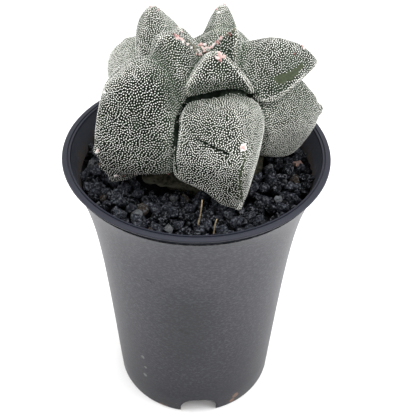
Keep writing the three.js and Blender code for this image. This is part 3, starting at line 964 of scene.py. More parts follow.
PALENESS = {
    "front lobe": (0.15, 0.4),
    "left lobe": (-0.4, -0.5),
    "front cap": (-0.2, -0.4),
    "left cap": (-0.5, -0.2),
    "right cap": (-0.6, -0.5),
    "right beak": (0.15, -0.1),
    "right lobe": (0.2, -0.2),
    "back left lobe": (0.7, 0.7),
    "back left cap": (0.5, 0.3),
    "back left inner cap": (0.2, 0.2),
    "back right cap": (0.4, 0.4),
    "back right inner cap": (0.25, 0.25),
    "back right lobe": (0.2, 0.2),
}
PALE_BANDS = [
    {"line": [(-32, -14.6, 158), (-26, -11.5, 162.5), (-18, -9.5, 164.5)], "reach": 5, "share": 0.9},
    {"line": [(26, -5.5, 154), (33, -3, 156.5)], "reach": 2.2, "share": -0.9},
    {"line": [(11, -10.5, 157.5), (18, -6, 154.5)], "reach": 2, "share": -1},
    {"line": [(0, -27.5, 134), (14, -31.5, 130)], "reach": 6, "share": -0.5},
    {"line": [(-30, -20, 132), (-14, -24, 131)], "reach": 5, "share": -0.4},
]
PALE_SPREAD = 6
CORK_TOP = 140
CORK_SPREAD = 3
NUBS = {
    "front lobe": [(37.8, 119.4)],
    "left lobe": [(44.5, 150.6), (46, 135.9), (44.6, 127.6), (40.6, 120)],
    "right lobe": [(43.4, 138)],
    "back right lobe": [(40.4, 148.2), (44, 137)],
    "back left lobe": [(39, 155.4), (48.6, 138.6)],
}
NUB_WIDTH = 1.5
NUB_HEIGHT = 1.1
HOLLOW_OVER_NUB = 3
HOLLOW_DEPTH = 0.9


def neighbour_means(piece, values):
    """The mean of each vertex's neighbours' values."""
    ends = np.empty(len(piece.data.edges) * 2, int)
    piece.data.edges.foreach_get("vertices", ends)
    first, second = ends.reshape(-1, 2).T
    total = np.zeros_like(values)
    np.add.at(total, first, values[second])
    np.add.at(total, second, values[first])
    count = np.maximum(np.bincount(ends, minlength=len(values)), 1)
    return total / count.reshape(-1, *[1] * (values.ndim - 1))


def spread_out(piece, values, rounds):
    """Softens values by giving each vertex the mean of its neighbours, a number of times."""
    for _ in range(rounds):
        values = neighbour_means(piece, values)
    return values


def vertex_normals(piece):
    found = np.empty(len(piece.data.vertices) * 3)
    piece.data.vertices.foreach_get("normal", found)
    return found.reshape(-1, 3)


def bends(piece, spacing):
    """How the surface bends, per millimetre: above zero over a ridge, below zero in a crease."""
    points = coordinates(piece) / MM
    rise = ((points - neighbour_means(piece, points)) * vertex_normals(piece)).sum(axis=1) / spacing**2
    for _ in range(BEND_SPREAD):
        rise = (rise + neighbour_means(piece, rise)) / 2
    return rise


def stretches(line):
    """The straight stretches of a line, each as its start and its end."""
    points = np.array(line)
    return zip(points, points[1:])


def distance_to_line(points, line):
    """Distance of points from a chain of straight stretches."""
    best = np.full(len(points), np.inf)
    for start, end in stretches(line):
        way = end - start
        share = np.clip((points - start) @ way / (way @ way), 0, 1)
        best = np.minimum(best, np.linalg.norm(points - start - share[:, None] * way, axis=1))
    return best


def fade(distance, width):
    """1 at no distance, and next to nothing beyond two widths."""
    return np.exp(-((distance / width) ** 2))


names = list(TUBERCLES)
skin_points = coordinates(skin) / MM
fields = plant_fields(skin_points)
owner, beside = fields.argsort(axis=0)[:2]
other = np.sort(fields, axis=0)[1]
bend = bends(skin, SKIN_VOXEL)
hollow = spread_out(skin, bend, CREASE_SPREAD)
crease = fade(other - fields.min(axis=0), CREASE_WIDTH) * np.clip(-hollow / CREASE_BEND, 0, 1)
for pair, strength in SHALLOW_CREASES.items():
    low, high = sorted(names.index(name) for name in pair)
    between = (np.minimum(owner, beside) == low) & (np.maximum(owner, beside) == high)
    crease[between] *= strength
groove = np.zeros(len(skin_points))
for cut in GROOVES.values():
    trough = fade(distance_to_line(skin_points, cut["line"]), cut["width"])
    groove = np.maximum(groove, cut["depth"] * trough)
nub = np.zeros(len(skin_points))
for name, places in NUBS.items():
    for out, height in places:
        for up, rise in ((0, NUB_HEIGHT), (HOLLOW_OVER_NUB, -HOLLOW_DEPTH)):
            middle = placed(TUBERCLES[name], out, 0, height + up)
            nub += rise * fade(np.linalg.norm(skin_points - middle, axis=1), NUB_WIDTH)

core, old_tubercle = len(names), names.index("old corky tubercle")
corky = spread_out(skin, np.isin(owner, [core, old_tubercle]).astype(float), CORK_SPREAD)
corky *= skin_points[:, 2] < CORK_TOP
ragged = RAGGED["height"] * lumps(skin_points, RAGGED["size"], seed=7)
bare = np.zeros(len(skin_points))
for *middle, radius in BARE_SPOTS:
    depth = radius + ragged - np.linalg.norm(skin_points - middle, axis=1)
    bare = np.maximum(bare, np.clip(depth / BARE_EDGE, 0, 1))
ragged_points = skin_points + STRIP_RAGGEDNESS * ragged[:, None]
bare = np.maximum(bare, STRIP_BARENESS * fade(distance_to_line(ragged_points, STRIP), STRIP_WIDTH))
sparse = np.zeros(len(skin_points))
for *middle, radius in SPARSE_SPOTS:
    sparse = np.maximum(sparse, fade(np.linalg.norm(skin_points - middle, axis=1), radius))
paleness = np.zeros(len(skin_points))
for name, (left, right) in PALENESS.items():
    across = own_frame(TUBERCLES[name], skin_points)[1]
    paleness += (owner == names.index(name)) * np.where(across > 0, right, left)
for band in PALE_BANDS:
    paleness += band["share"] * fade(distance_to_line(skin_points, band["line"]), band["reach"])
paleness = spread_out(skin, paleness, PALE_SPREAD)

swell = SWELL["height"] * lumps(skin_points, SWELL["size"], seed=1)
swell += DIMPLE["height"] * lumps(skin_points, DIMPLE["size"], seed=2)
wrinkle = WRINKLE["height"] * lumps(skin_points * WRINKLE_STRETCH, WRINKLE["size"], seed=3)
rise = swell + nub + wrinkle * corky - CREASE_DEPTH * crease - groove
set_coordinates(skin, (skin_points + vertex_normals(skin) * rise[:, None]) * MM)

ridge = np.clip((bend - RIDGE_BEND[0]) / (RIDGE_BEND[1] - RIDGE_BEND[0]), 0, 1)
near_other = np.exp(-other / FURROW_REACH)
# Creases and grooves get painted shade; a groove as deep as this gets all of it.
groove = np.clip(groove / GROOVE_SHADE_DEPTH, 0, 1)
store(skin, "crease", np.maximum(crease, groove))
store(skin, "near_other", np.maximum(near_other, SPARSE_GREEN * sparse))
store(skin, "ridge", ridge)
store(skin, "corky", corky)
store(skin, "bare", bare)
store(skin, "pale", np.clip(paleness, 0, 1))
bpy.ops.object.shade_smooth()

# Its skin is nearly black between the flecks, greener towards the furrows, and brown at the cork, with
# painted shade in its creases and grooves.
DARK_FLESH = (0.0025, 0.005, 0.0025)
LIGHT_FLESH = (0.008, 0.013, 0.006)
FURROW_GREEN = (0.070, 0.098, 0.066)
WOOLLY_GREEN = (0.16, 0.18, 0.14)
CREASE_PAINTED_SHADE = (0.004, 0.008, 0.005)
RIDGE_GREY_AND_HIGHLIGHT = (0.20, 0.20, 0.16)
PATCH_GREENS = (0.046, 0.057, 0.034), (0.070, 0.085, 0.052)
CORK_BROWNS = (0.013, 0.014, 0.011), (0.070, 0.065, 0.045)
CORK_RIDGE_HIGHLIGHT = (0.085, 0.085, 0.065)
BARK_DEPTH = 0.5

flesh = Finish("green skin", 0.62, Specular_IOR_Level=0.06)
on_cork = flesh.stored("corky")
ridge_highlight = flesh.stored("ridge")
crease_shade = flesh.stored("crease")
grain = flesh.noise(size=0.8, detail=3, roughness=0.6)
bark = flesh.noise(size=1.6, detail=5, roughness=0.7)
green_patch = flesh.mix(flesh.ramp(grain, 0.4, 0.7), *PATCH_GREENS)
cork = flesh.mix(flesh.ramp(bark, 0.35, 0.65), *CORK_BROWNS)
skin_colour = flesh.layers(
    flesh.mix(flesh.ramp(flesh.noise(size=11, detail=3), 0.35, 0.65), DARK_FLESH, LIGHT_FLESH),
    [
        (flesh.stored("near_other") * 0.8, FURROW_GREEN),
        (flesh.stored("pale") * 0.6, WOOLLY_GREEN),
        # painted shade in the creases and grooves
        (crease_shade * crease_shade, CREASE_PAINTED_SHADE),
        # Ridges are paler, partly from denser wool and partly as a painted highlight; the cork's ridges
        # get a painted highlight.
        (ridge_highlight * 0.5, RIDGE_GREY_AND_HIGHLIGHT),
        (flesh.stored("bare"), green_patch),
        (on_cork, flesh.mix(ridge_highlight, cork, CORK_RIDGE_HIGHLIGHT)),
    ],
)
skin.data.materials.append(
    flesh.finish(
        Base_Color=skin_colour,
        Roughness=0.55 + on_cork * 0.35,
        Normal=flesh.bump(bark * on_cork + grain * 0.2, BARK_DEPTH, 0.8),
    )
)
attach(skin, "root")
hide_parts("cactus")


# The flecks: tufts of white wool that cover the skin all over in short slanting rows. They
# crowd along the ridges, where they draw a pale line on some, and thin out in the furrows. One
# tuft is modelled and copied, along its own way over the skin each time.
FLECK_SEED = 5
FLECK_DRAWS = 420000
FLECK_PITCH_ALONG = 0.56
FLECK_PITCH_ACROSS = 0.7
FLECK_LENGTH = 0.4
FLECK_WIDTH = 0.235
FLECK_HEIGHT = 0.12
FLECK_LIFT = 0.3
FLECK_SIDES = 5
FLECK_SPREAD = (0.85, 1.15)
FLECK_SLANT = math.radians(40)
FLECK_WANDER = math.radians(150)
FLECK_JITTER = math.radians(22)
FLECK_TURNS = 4.5
FLECK_NEIGHBOURS = 9
FLECK_SHIFTS = 4
FLECK_PUSH = 0.12
FLECK_ROOM = 1.45
FLECK_PIECES = 3
RIDGE_CROWDING = 0.25
PALE_CROWDING = 0.25
FLECK_PATCHES = {"size": 12, "share": 0.15}
FURROW_THINNING = 0.1
SPARSE_THINNING = 0.25
UNDERSIDE_THINNING = 0.35

# No fleck stands where the skin is more corky, bare, creased or grooved than BARE_FROM says. A
# dense row of small flecks follows each of the ridge lines.
BARE_FROM = {"corky": 0.5, "bare": 0.5, "crease": 0.75, "groove": 0.55}
RIDGE_LINES = [
    [
        (4.6, -6.2, 169.9),
        (1.3, -9.7, 167.7),
        (-0.3, -11, 165.5),
        (-2, -12.4, 163),
        (-3.1, -12.9, 159.6),
        (-3.5, -12.2, 156.7),
    ],
    [(-3.9, -14.8, 152.8), (-4.6, -19.3, 151.6), (-5, -21.6, 148.3), (-5.8, -24.6, 142)],
    [(7.3, -7.8, 170.6), (11.5, -8.9, 167.1), (15.8, -9.7, 162.2), (17.6, -9.1, 159), (18.9, -8, 155.8)],
    [(19.9, -4.9, 151.7), (21.7, -6, 150.8), (24.2, -6.6, 145.3), (25.2, -8.1, 141.9), (25.8, -11.4, 139)],
    [(12.8, 7.1, 170.3), (13.6, 5.7, 169.1), (14.2, 4.8, 166.8), (14.7, 5.3, 163.4)],
    [
        (-32.3, -14.6, 158.3),
        (-27.7, -9.9, 162.6),
        (-23.3, -8.1, 165.4),
        (-17.6, -6.6, 166.8),
        (-13.5, -6.9, 165.1),
    ],
    [
        (-15.5, -1.8, 164.7),
        (-14.2, -3.7, 170.3),
        (-12.8, -3.5, 173.2),
        (-11.5, -3.1, 174),
        (-9.5, -2.4, 173.9),
    ],
    [(22.6, -6.4, 150.9), (26, -6.5, 152), (29, -5.5, 153.2), (31.6, -4.2, 154), (33.7, -2.9, 155.3)],
    [(33.7, -2.9, 155.3), (36.3, -0.8, 156.6), (38.3, 1.2, 157.9)],
]
LINE_STEP = 0.24
LINE_JITTER = 0.05
LINE_SIZE = 0.52
LINE_SPREAD = (0.8, 1.2)
LINE_REACH = 1.3
LINE_PLENTY = 0.1
CREAM_WOOL = (0.80, 0.81, 0.76)
WHITE_WOOL = (0.92, 0.92, 0.88)
TINY = 1e-6


def draw_over(piece, count, random):
    """Random points all over a piece, with their normals and each one's nearest vertex."""
    piece.data.calc_loop_triangles()
    corners = np.empty(len(piece.data.loop_triangles) * 3, int)
    piece.data.loop_triangles.foreach_get("vertices", corners)
    corners = corners.reshape(-1, 3)
    points, normals = coordinates(piece) / MM, vertex_normals(piece)
    a, b, c = points[corners.T]
    area = np.linalg.norm(np.cross(b - a, c - a), axis=1)
    pick = random.choice(len(corners), count, p=area / area.sum())
    share = random.dirichlet((1, 1, 1), count)
    place = np.einsum("nk,nkj->nj", share, points[corners[pick]])
    normal = np.einsum("nk,nkj->nj", share, normals[corners[pick]])
    nearest = corners[pick, share.argmax(axis=1)]
    return place, normal / np.linalg.norm(normal, axis=1, keepdims=True), nearest


def tree_of(points):
    """A tree that finds the points near a place."""
    tree = kdtree.KDTree(len(points))
    for i, point in enumerate(points):
        tree.insert(point, i)
    tree.balance()
    return tree


def thin_out(points, ways, scale):
    """The indices of points that stay a scaled pitch apart, along their ways and across them."""
    tree = tree_of(points)
    free = np.ones(len(points), bool)
    kept = []
    for i, point in enumerate(points):
        if not free[i]:
            continue
        kept.append(i)
        found = tree.find_range(point, max(FLECK_PITCH_ALONG, FLECK_PITCH_ACROSS) * scale[i])
        near = np.array([index for _, index, _ in found])
        gap = points[near] - point
        along = gap @ ways[i]
        across = (gap**2).sum(axis=1) - along**2
        close = (along / FLECK_PITCH_ALONG) ** 2 + across / FLECK_PITCH_ACROSS**2 < scale[i] ** 2
        free[near[close]] = False
    return np.array(kept)


def even_out(points, normals, ways, scale):
    """Pushes points away from their neighbours over the skin, until they lie evenly."""
    tree = tree_of(points)
    found = [tree.find_n(point, FLECK_NEIGHBOURS)[1:] for point in points]
    near = np.array([[index for _, index, _ in neighbours] for neighbours in found])
    points = points.copy()
    for _ in range(FLECK_SHIFTS):
        gap = points[:, None] - points[near]
        along = np.einsum("nkj,nj->nk", gap, ways)
        across = np.sqrt(np.maximum((gap**2).sum(axis=2) - along**2, 0))
        apart = np.hypot(along / FLECK_PITCH_ALONG, across / FLECK_PITCH_ACROSS) / scale[:, None]
        push = np.clip(FLECK_ROOM - apart, 0, 1) / np.maximum(np.linalg.norm(gap, axis=2), TINY)
        shift = (gap * push[:, :, None]).sum(axis=1) * FLECK_PUSH * FLECK_PITCH_ALONG
        points += shift - normals * (shift * normals).sum(axis=1, keepdims=True)
    return points


def along_lines(piece, lines, step):
    """Points at every step along lines, drawn onto a piece, with its normals and the lines' ways."""
    places, normals, ways = [], [], []
    for line in lines:
        for start, end in stretches(line):
            length = np.linalg.norm(end - start)
            for share in np.arange(0, 1, step / length):
                place = Vector(start + (end - start) * share) * MM
                _, on_piece, normal, _ = piece.closest_point_on_mesh(place)
                places.append(on_piece / MM)
                normals.append(normal)
                ways.append((end - start) / length)
    return np.array(places), np.array(normals), np.array(ways)


def copies(name, pattern, places, frames):
    """Copies a pattern's mesh to each place, in millimetres, along each frame's columns."""
    pattern.data.calc_loop_triangles()
    faces = np.array([triangle.vertices for triangle in pattern.data.loop_triangles])
    corners = coordinates(pattern)
    points = np.einsum("nij,vj->nvi", frames, corners) + places[:, None]
    index = faces[None] + (np.arange(len(places)) * len(corners))[:, None, None]
    mesh = bpy.data.meshes.new(name)
    mesh.vertices.add(points.size // 3)
    mesh.vertices.foreach_set("co", (points * MM).ravel())
    mesh.loops.add(index.size)
    mesh.loops.foreach_set("vertex_index", index.ravel())
    mesh.polygons.add(index.size // 3)
    mesh.polygons.foreach_set("loop_start", np.arange(0, index.size, 3))
    mesh.update(calc_edges=True)
    piece = bpy.data.objects.new(name, mesh)
    bpy.context.collection.objects.link(piece)
    return piece


random = np.random.default_rng(FLECK_SEED)
place, normal, nearest = draw_over(skin, FLECK_DRAWS, random)
turn = FLECK_SLANT + FLECK_WANDER * lumps(skin_points, FLECK_TURNS, seed=4)[nearest]
turn += random.normal(0, FLECK_JITTER, FLECK_DRAWS)
level = np.stack([-normal[:, 1], normal[:, 0], 0 * turn], axis=-1)
level /= np.maximum(np.linalg.norm(level, axis=1, keepdims=True), TINY)
steep = np.cross(normal, level)
way = level * np.cos(turn)[:, None] + steep * np.sin(turn)[:, None]
woolly = (corky < BARE_FROM["corky"]) & (bare < BARE_FROM["bare"])
woolly &= (crease < BARE_FROM["crease"]) & (groove < BARE_FROM["groove"])
kept = woolly[nearest]
place, normal, nearest, way = place[kept], normal[kept], nearest[kept], way[kept]
crowding = (1 - RIDGE_CROWDING * ridge - PALE_CROWDING * paleness)[nearest]
kept = thin_out(place, way, crowding)
place, normal, nearest, way = place[kept], normal[kept], nearest[kept], way[kept]
place = even_out(place, normal, way, crowding[kept])

near_line = fade(np.min([distance_to_line(skin_points, line) for line in RIDGE_LINES], axis=0), LINE_REACH)
plenty = 1 + FLECK_PATCHES["share"] * lumps(skin_points, FLECK_PATCHES["size"], seed=6)
plenty += LINE_PLENTY * near_line - FURROW_THINNING * near_other - SPARSE_THINNING * sparse
size = plenty[nearest] - UNDERSIDE_THINNING * np.clip(-normal[:, 2], 0, 1)
size *= random.uniform(*FLECK_SPREAD, len(kept))
line_place, line_normal, line_way = along_lines(skin, RIDGE_LINES, LINE_STEP)
line_place += random.normal(0, LINE_JITTER, line_place.shape)
place = np.vstack([place, line_place])
normal = np.vstack([normal, line_normal])
way = np.vstack([way, line_way])
size = np.append(size, LINE_SIZE * random.uniform(*LINE_SPREAD, len(line_place)))
long_axis = way * (FLECK_LENGTH * size)[:, None]
wide_axis = np.cross(normal, way) * (FLECK_WIDTH * size)[:, None]
high_axis = normal * FLECK_HEIGHT

fleck = add_primitive("fleck", "cone", vertices=FLECK_SIDES, radius1=1, radius2=0, depth=1)
fleck.location.z = FLECK_LIFT
bpy.ops.object.transform_apply(location=True)
wool = Finish("white wool", 0.95, Specular_IOR_Level=0.2)
wool.finish(Base_Color=wool.mix(wool.noise(size=5, detail=3), CREAM_WOOL, WHITE_WOOL))
order = np.argsort(np.arctan2(place[:, 0] - PLANT_CENTRE[0], place[:, 1] - PLANT_CENTRE[1]))
for number, group in enumerate(np.array_split(order, FLECK_PIECES)):
    frames = np.stack([long_axis[group], wide_axis[group], high_axis[group]], axis=-1)
    flecks = copies(f"flecks_{number + 1}", fleck, place[group], frames)
    flecks.data.shade_smooth()
    flecks.data.materials.append(wool.material)
    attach(flecks, "root")
bpy.data.objects.remove(fleck)


# The felt: clumps of wool on the ridges' areoles, white round a pink middle, and a curl of pink
# wool round the growing point at the crown. Each clump is a few balls that are fused and ruffled.
# A tuft is a place on the skin, how far it spreads, and its shade.
GREY, WHITE, PALE, PINK, RED, BROWN = -0.5, 0, 0.25, 0.5, 0.75, 1
TUFTS = [
    (-7.8, -1.5, 173.4, 0.7, RED),
    (-7.1, -2.1, 172.8, 0.8, PINK),
    (-5.8, -1.8, 171.9, 0.8, PINK),
    (-5.1, -2.2, 171.2, 0.6, PALE),
    (-3.7, -1.6, 169.9, 0.5, PALE),
    (-2.4, -1.2, 168.3, 0.5, WHITE),
    (-0.2, 8, 164.2, 0.6, PINK),
    (0.8, 8, 164.7, 0.7, PINK),
    (2.2, 7.9, 164.2, 0.6, PALE),
    (0.7, 6.7, 163.9, 0.7, RED),
    (1.7, 5.6, 164.1, 0.7, PINK),
    (2.9, 5.4, 164.2, 0.7, PALE),
    (3.8, 5.4, 164.2, 0.6, PINK),
    (2.1, 4.1, 163.8, 0.6, PINK),
    (1.1, 2.4, 163.9, 0.5, PALE),
    (0.2, 1.1, 164.2, 0.6, PINK),
    (-1.4, 2, 164.9, 0.5, WHITE),
    (-3.5, 0.4, 170.1, 0.5, GREY),
    (-2.4, 0.5, 168.9, 0.6, GREY),
    (-1.4, 0.7, 167.6, 0.6, GREY),
    (-1.2, 0.2, 166.4, 0.6, GREY),
    (-0.6, -0.6, 165.6, 0.5, PINK),
    (2.6, 6.8, 163.8, 0.7, BROWN),
    (3.6, 3.4, 163.4, 0.7, BROWN),
    (-0.4, 5, 163.6, 0.8, GREY),
    (12.6, 6.6, 171.3, 0.5, GREY),
    (11.1, 6.2, 170, 0.6, BROWN),
    (9.9, 6.8, 169, 0.5, GREY),
    (8.4, 7.2, 166.9, 0.7, PINK),
    (7.3, 6.5, 165.9, 0.8, RED),
    (6.1, 6.6, 164.9, 0.6, PALE),
    (4.9, 6, 164.5, 0.6, PINK),
    (7.6, -8.1, 170, 0.8, PINK),
    (6.6, -8.6, 169.3, 0.7, PALE),
    (8.8, -8.1, 169.4, 0.7, PINK),
    (7.6, -8.8, 168.6, 0.6, RED),
    (6.4, 24.4, 170, 0.5, PINK),
    (6.9, 22.4, 169.3, 0.4, WHITE),
    (-17.6, 20.7, 172.3, 0.5, PALE),
    (-15.1, 20.8, 170.7, 0.4, PINK),
    (-12.4, 17.3, 166.3, 0.3, PALE),
    (-8.8, 24.8, 161.7, 0.3, PALE),
    (-6, 12.1, 166.9, 0.3, PALE),
    (37, 8.3, 164.6, 0.6, PINK),
    (37.7, 7.4, 164.2, 0.5, PALE),
    (34.3, 4.4, 163.6, 0.4, BROWN),
    (16.4, -29, 147.1, 0.5, PINK),
    (17.5, -28.9, 147.1, 0.4, WHITE),
    (16.9, -28.3, 147.9, 0.4, WHITE),
    (15.8, -28.3, 147.9, 0.4, WHITE),
    (15.3, -28.9, 147.1, 0.4, PALE),
    (15.8, -29.5, 146.3, 0.4, WHITE),
    (16.9, -29.5, 146.3, 0.4, PALE),
    (-31.4, -15.5, 158.9, 0.5, WHITE),
    (-35, -19.3, 136.4, 0.6, PALE),
    (-34.7, -17.2, 128.8, 0.5, BROWN),
    (-29, -19.1, 125, 0.5, PALE),
    (43.2, 8.2, 143.2, 0.5, PALE),
    (-25.7, -19.3, 123.3, 0.5, BROWN),
    (-21.7, -21.3, 125, 0.4, RED),
    (-16.4, -19.5, 123.6, 0.6, BROWN),
    (-11.3, -15.4, 122, 0.6, RED),
    (-7.5, -17, 123.5, 0.5, BROWN),
]
HIDDEN_AREOLES = {
    "right lobe": (43.8, 136),
    "back right lobe": (44, 137),
    "back right cap": (20.8, 171),
    "back left lobe": (47.7, 139.6),
    "back left cap": (24.2, 172.6),
}
HIDDEN_SPREAD = 0.7
TUFT_BALLS = 7
BALL_RADII = (0.28, 0.5)
BALL_LIFT = 0.4
SMALL_TUFT = 0.3
SHADE_SPREAD = 0.1
FELT_SEED = 3
FELT_VOXEL = 0.2
RUFFLE = {"size": 0.7, "height": 0.18}
FINE_RUFFLE = {"size": 0.3, "height": 0.09}
GREY_WOOL = (0.17, 0.165, 0.12)
PALE_WOOL = (0.68, 0.66, 0.64)
PINK_WOOL = (0.57, 0.40, 0.38)
RED_WOOL = (0.33, 0.16, 0.15)
BROWN_WOOL = (0.06, 0.04, 0.028)

random = np.random.default_rng(FELT_SEED)
tufts = list(TUFTS)
for name, (out, height) in HIDDEN_AREOLES.items():
    tufts.append((*placed(TUBERCLES[name], out, 0, height), HIDDEN_SPREAD, PALE))
balls, middles, shades = [], [], []
for x, y, z, spread, shade in tufts:
    for shift in random.normal(0, spread / 2, (TUFT_BALLS, 3)):
        _, middle, normal, _ = skin.closest_point_on_mesh(Vector((x, y, z) + shift) * MM)
        radius = random.uniform(*BALL_RADII) * min(1, SMALL_TUFT + spread) * MM
        middle += normal * radius * BALL_LIFT
        middles.append(middle)
        shades.append(shade + random.normal(0, SHADE_SPREAD))
        balls.append(add_primitive("wool", "ico_sphere", subdivisions=2, radius=radius, location=middle))
felt = balls.pop()
felt.name = felt.data.name = "felt"
select(felt, balls)
bpy.ops.object.join()
bpy.ops.object.transform_apply(location=True)
apply_modifier(felt, "REMESH", mode="VOXEL", voxel_size=FELT_VOXEL * MM)
felt_points = coordinates(felt) / MM
rise = RUFFLE["height"] * lumps(felt_points, RUFFLE["size"], seed=1)
rise += FINE_RUFFLE["height"] * lumps(felt_points, FINE_RUFFLE["size"], seed=2)
set_coordinates(felt, (felt_points + vertex_normals(felt) * rise[:, None]) * MM)
tree = tree_of(middles)
store(felt, "shade", [shades[tree.find(point * MM)[1]] for point in felt_points])
bpy.ops.object.shade_smooth()

cushion = Finish("pink and white wool", 0.95)
shade = cushion.stored("shade") + (cushion.noise(size=0.5, detail=3) - 0.5) * 0.3
wool_colour = cushion.layers(
    GREY_WOOL,
    [
        (cushion.ramp(shade, -0.4, -0.1), PALE_WOOL),
        (cushion.ramp(shade, 0.1, 0.5), PINK_WOOL),
        (cushion.ramp(shade, 0.55, 0.8), RED_WOOL),
        (cushion.ramp(shade, 0.85, 1), BROWN_WOOL),
    ],
)
felt.data.materials.append(cushion.finish(Base_Color=wool_colour))
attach(felt, "root")


# The grit: loose black volcanic grains on the potting mix, three to five millimetres across, with some
# finer ones. Each is broken stone with flat facets. They are dropped one after another and rest on those
# below, which are painted darker as painted shade in the gaps. The bed under them is one plain layer.
BED_BOTTOM = 106.3
BED_TOP = 113.2
BED_SIDES = 96
BED_CLEARANCE = 0.15
HOLE_OVER_BED = 4
GRAIN_SEED = 20
GRAIN_KINDS = 9
GRAIN_CUTS = 11
CUT_AT = (0.72, 1)
GRAIN_SQUASH = (0.6, 1.1)
GRAIN_ROUNDS = [
    {"count": 500, "radius": (1, 1.5)},
    {"count": 500, "radius": (2.3, 3)},
    {"count": 1900, "radius": (1.6, 2.4)},
    {"count": 250, "radius": (0.6, 1)},
]
GRAIN_SHARES = {"dark": 0.46, "grey": 0.5, "brown": 0.01, "pale": 0.03}
GRAIN_TINTS = {"dark": 0.15, "grey": 0.5, "brown": 0.7, "pale": 0.85, "pink": 0.93}
GRAIN_TOP = 118.4
WALL_OVERLAP = 0.4
PLANT_PROBES = (114, 115.5, 117)

# These are shares of a grain's radius: how near grains settle to each other, how high one lies on
# the bed, half its height, and how far a special one lies below the top. The special grains stand
# out in the grit, and each is its place, its radius and its tint.
GRAIN_SETTLE = 0.62
GRAIN_LIFT = 0.4
GRAIN_HALF = 0.8
SPECIAL_DEPTH = 1.1
SPECIAL_GRAINS = [
    (39.8, 0.8, 2, "pink"),
    (-20.9, -30.7, 2.5, "pale"),
    (-8.9, -37.7, 1.8, "pale"),
    (-15.5, -39.5, 1.7, "brown"),
    (-15.9, -33.7, 2.3, "dark"),
    (0.9, -40.9, 2.2, "dark"),
    (25.5, -13.1, 2.7, "dark"),
    (23.7, -22.4, 2.6, "dark"),
    (30.5, -20.6, 1.6, "pale"),
    (-34, -22, 1.6, "brown"),
]
DARK_STONE = (0.002, 0.0025, 0.004)
GREY_STONE = (0.026, 0.029, 0.038)
BROWN_STONE = (0.045, 0.035, 0.027)
PALE_STONE = (0.10, 0.105, 0.11)
PINK_STONE = (0.28, 0.18, 0.15)
DUSTY_PORE_AND_GLINT = (0.15, 0.16, 0.18)
PIT_PAINTED_SHADE = (0.002, 0.002, 0.003)
LOW_GRIT_SHADE = (0.001, 0.001, 0.002)
GRIT_SHADE_FROM = (114.4, 117.2)
PORE_SIZE = 0.9
PORE_DEPTH = 0.8


def broken_stone(name, random):
    """A block whose corners and edges are knocked off by flat cuts."""
    stone = add_primitive(name, "cube", size=2)
    edit(stone)
    for way in random.normal(0, 1, (GRAIN_CUTS, 3)):
        bpy.ops.mesh.select_all(action="SELECT")
        way = Vector(way).normalized()
        place = way * random.uniform(*CUT_AT)
        bpy.ops.mesh.bisect(plane_co=place, plane_no=way, use_fill=True, clear_outer=True)
    leave_edit()
    return stone


def random_frames(random, radii):
    """Turned and squashed frames, one for each radius."""
    frames = np.linalg.qr(random.normal(0, 1, (len(radii), 3, 3)))[0]
    frames[np.linalg.det(frames) < 0, :, 0] *= -1
    frames = frames * random.uniform(*GRAIN_SQUASH, (len(radii), 1, 3))
    return frames * np.array(radii)[:, None, None]


def clear_of_plant(x, y):
    """How far points at the grit's level are from the plant, at the least."""
    points = [np.stack([x, y, np.full(len(x), z)], axis=-1) for z in PLANT_PROBES]
    return np.min([plant_fields(probe).min(axis=0) for probe in points], axis=0)


bed_profile = [(inner_radius(z) - BED_CLEARANCE, z) for z in (BED_BOTTOM, BED_TOP)]
bed = turn_up("grit_bed", bed_profile, BED_SIDES)
hole = [(r + BED_CLEARANCE, z) for r, z in CORE if z < BED_TOP + HOLE_OVER_BED]
cut_out(bed, turn_up("hole", hole, CORE_SIDES, PLANT_CENTRE))

random = np.random.default_rng(GRAIN_SEED)
drops = list(SPECIAL_GRAINS)
for batch in GRAIN_ROUNDS:
    count = batch["count"]
    out = np.sqrt(random.uniform(0, 1, count)) * inner_radius(GRAIN_TOP)
    turn = random.uniform(0, 2 * math.pi, count)
    radius = random.uniform(*batch["radius"], count)
    tint = random.choice(list(GRAIN_SHARES), count, p=list(GRAIN_SHARES.values()))
    drops += zip(out * np.cos(turn), out * np.sin(turn), radius, tint)
clearance = clear_of_plant(*np.array([drop[:2] for drop in drops]).T)
rested = np.empty((0, 4))
tints = []
for (x, y, radius, tint), clear in zip(drops, clearance):
    over_wall = math.hypot(x, y) + radius > inner_radius(BED_TOP) + WALL_OVERLAP
    if clear < radius * GRAIN_HALF or over_wall:
        continue
    apart = (rested[:, 3] + radius) * GRAIN_SETTLE
    rise = apart**2 - (rested[:, 0] - x) ** 2 - (rested[:, 1] - y) ** 2
    touching = rise > 0
    z = max([BED_TOP + radius * GRAIN_LIFT, *(rested[touching, 2] + np.sqrt(rise[touching]))])
    if len(rested) < len(SPECIAL_GRAINS):
        z = GRAIN_TOP - radius * SPECIAL_DEPTH
    elif z + radius * GRAIN_HALF > GRAIN_TOP:
        continue
    rested = np.vstack([rested, (x, y, z, radius)])
    tints.append(GRAIN_TINTS[tint])

stone = Finish("black volcanic stone", 0.45, Specular_IOR_Level=0.07)
tint = stone.stored("tint")
pores = stone.noise(size=PORE_SIZE, detail=4, roughness=0.7)
stone_colour = stone.layers(
    stone.mix(stone.ramp(tint, 0.1, 0.6), DARK_STONE, GREY_STONE),
    [
        (stone.ramp(tint, 0.6, 0.7), BROWN_STONE),
        (stone.ramp(tint, 0.75, 0.84), PALE_STONE),
        (stone.ramp(tint, 0.88, 0.93), PINK_STONE),
        # Pale marks on the grains: partly dust and partly painted glints of the facets.
        (stone.ramp(pores, 0.52, 0.61) * 0.8, DUSTY_PORE_AND_GLINT),
        # Painted shade: the pits of the pores are painted black.
        (1 - stone.ramp(pores, 0.36, 0.47), PIT_PAINTED_SHADE),
        # Painted shade: grains lower in the layer, and the bed, are painted darker.
        (1 - stone.ramp(stone.heights(), *GRIT_SHADE_FROM), LOW_GRIT_SHADE),
    ],
)
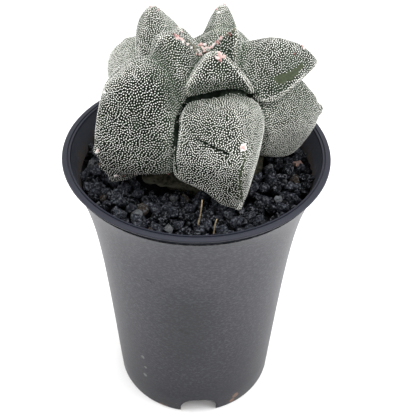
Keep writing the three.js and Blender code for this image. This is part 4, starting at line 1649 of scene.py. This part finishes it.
stone.finish(Base_Color=stone_colour, Normal=stone.bump(pores, PORE_DEPTH))
bed.data.materials.append(stone.material)
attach(bed, "root")
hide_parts("grit")
kinds = random.integers(0, GRAIN_KINDS, len(rested))
for kind in range(GRAIN_KINDS):
    pattern = broken_stone("pattern", random)
    own = kinds == kind
    grains = copies(f"grains_{kind + 1}", pattern, rested[own, :3], random_frames(random, rested[own, 3]))
    store(grains, "tint", np.repeat(np.array(tints)[own], len(pattern.data.vertices)))
    bpy.data.objects.remove(pattern)
    grains.data.shade_flat()
    grains.data.materials.append(stone.material)
    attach(grains, "root")


# The stalks: two dry straws that stand in the grit before the plant, each a thin tapering stem
# with a slight bow and knots along it.
STALKS = [
    {"foot": (0.4, -36, 113), "tip": (2.8, -36.9, 130), "bow": (0.5, 0.1)},
    {"foot": (7.2, -39.8, 113), "tip": (8, -40.6, 124.6), "bow": (-0.4, 0.2)},
]
STALK_RADIUS = 0.3
STALK_TAPER = 0.45
STALK_KNOTS = {"height": 0.12, "turns": 9}
STALK_RINGS = 14
STALK_SIDES = 8
DARK_STRAW = (0.20, 0.14, 0.08)
LIGHT_STRAW = (0.58, 0.47, 0.31)


def stalk_middle(stalk, share):
    """Points of a stalk's middle line, at shares of the way from its foot to its tip."""
    foot, tip = np.array(stalk["foot"]), np.array(stalk["tip"])
    bow = np.array([*stalk["bow"], 0])
    share = np.asarray(share)[:, None]
    return foot + (tip - foot) * share + bow * np.sin(math.pi * share)


def stalk_radius(share):
    knots = STALK_KNOTS["height"] * math.sin(STALK_KNOTS["turns"] * share)
    return STALK_RADIUS * (1 - STALK_TAPER * share + knots)


straw = Finish("dry straw", 0.7)
fibre = straw.noise(size=1.1, detail=4, roughness=0.7)
straw.finish(Base_Color=straw.mix(straw.ramp(fibre, 0.3, 0.7), DARK_STRAW, LIGHT_STRAW))
for number, stalk in enumerate(STALKS):
    shares = [i / STALK_RINGS for i in range(STALK_RINGS + 1)]
    profile = [(stalk_radius(share), share / MM) for share in shares]
    tube = turn_up(f"stalk_{number + 1}", profile, STALK_SIDES)
    straight = coordinates(tube)
    middles = stalk_middle(stalk, straight[:, 2])
    set_coordinates(tube, straight * (1, 1, 0) + middles * MM)
    bpy.ops.object.shade_smooth()
    tube.data.materials.append(straw.material)
    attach(tube, "root")
    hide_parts(f"dry_stalk_{number + 1}")
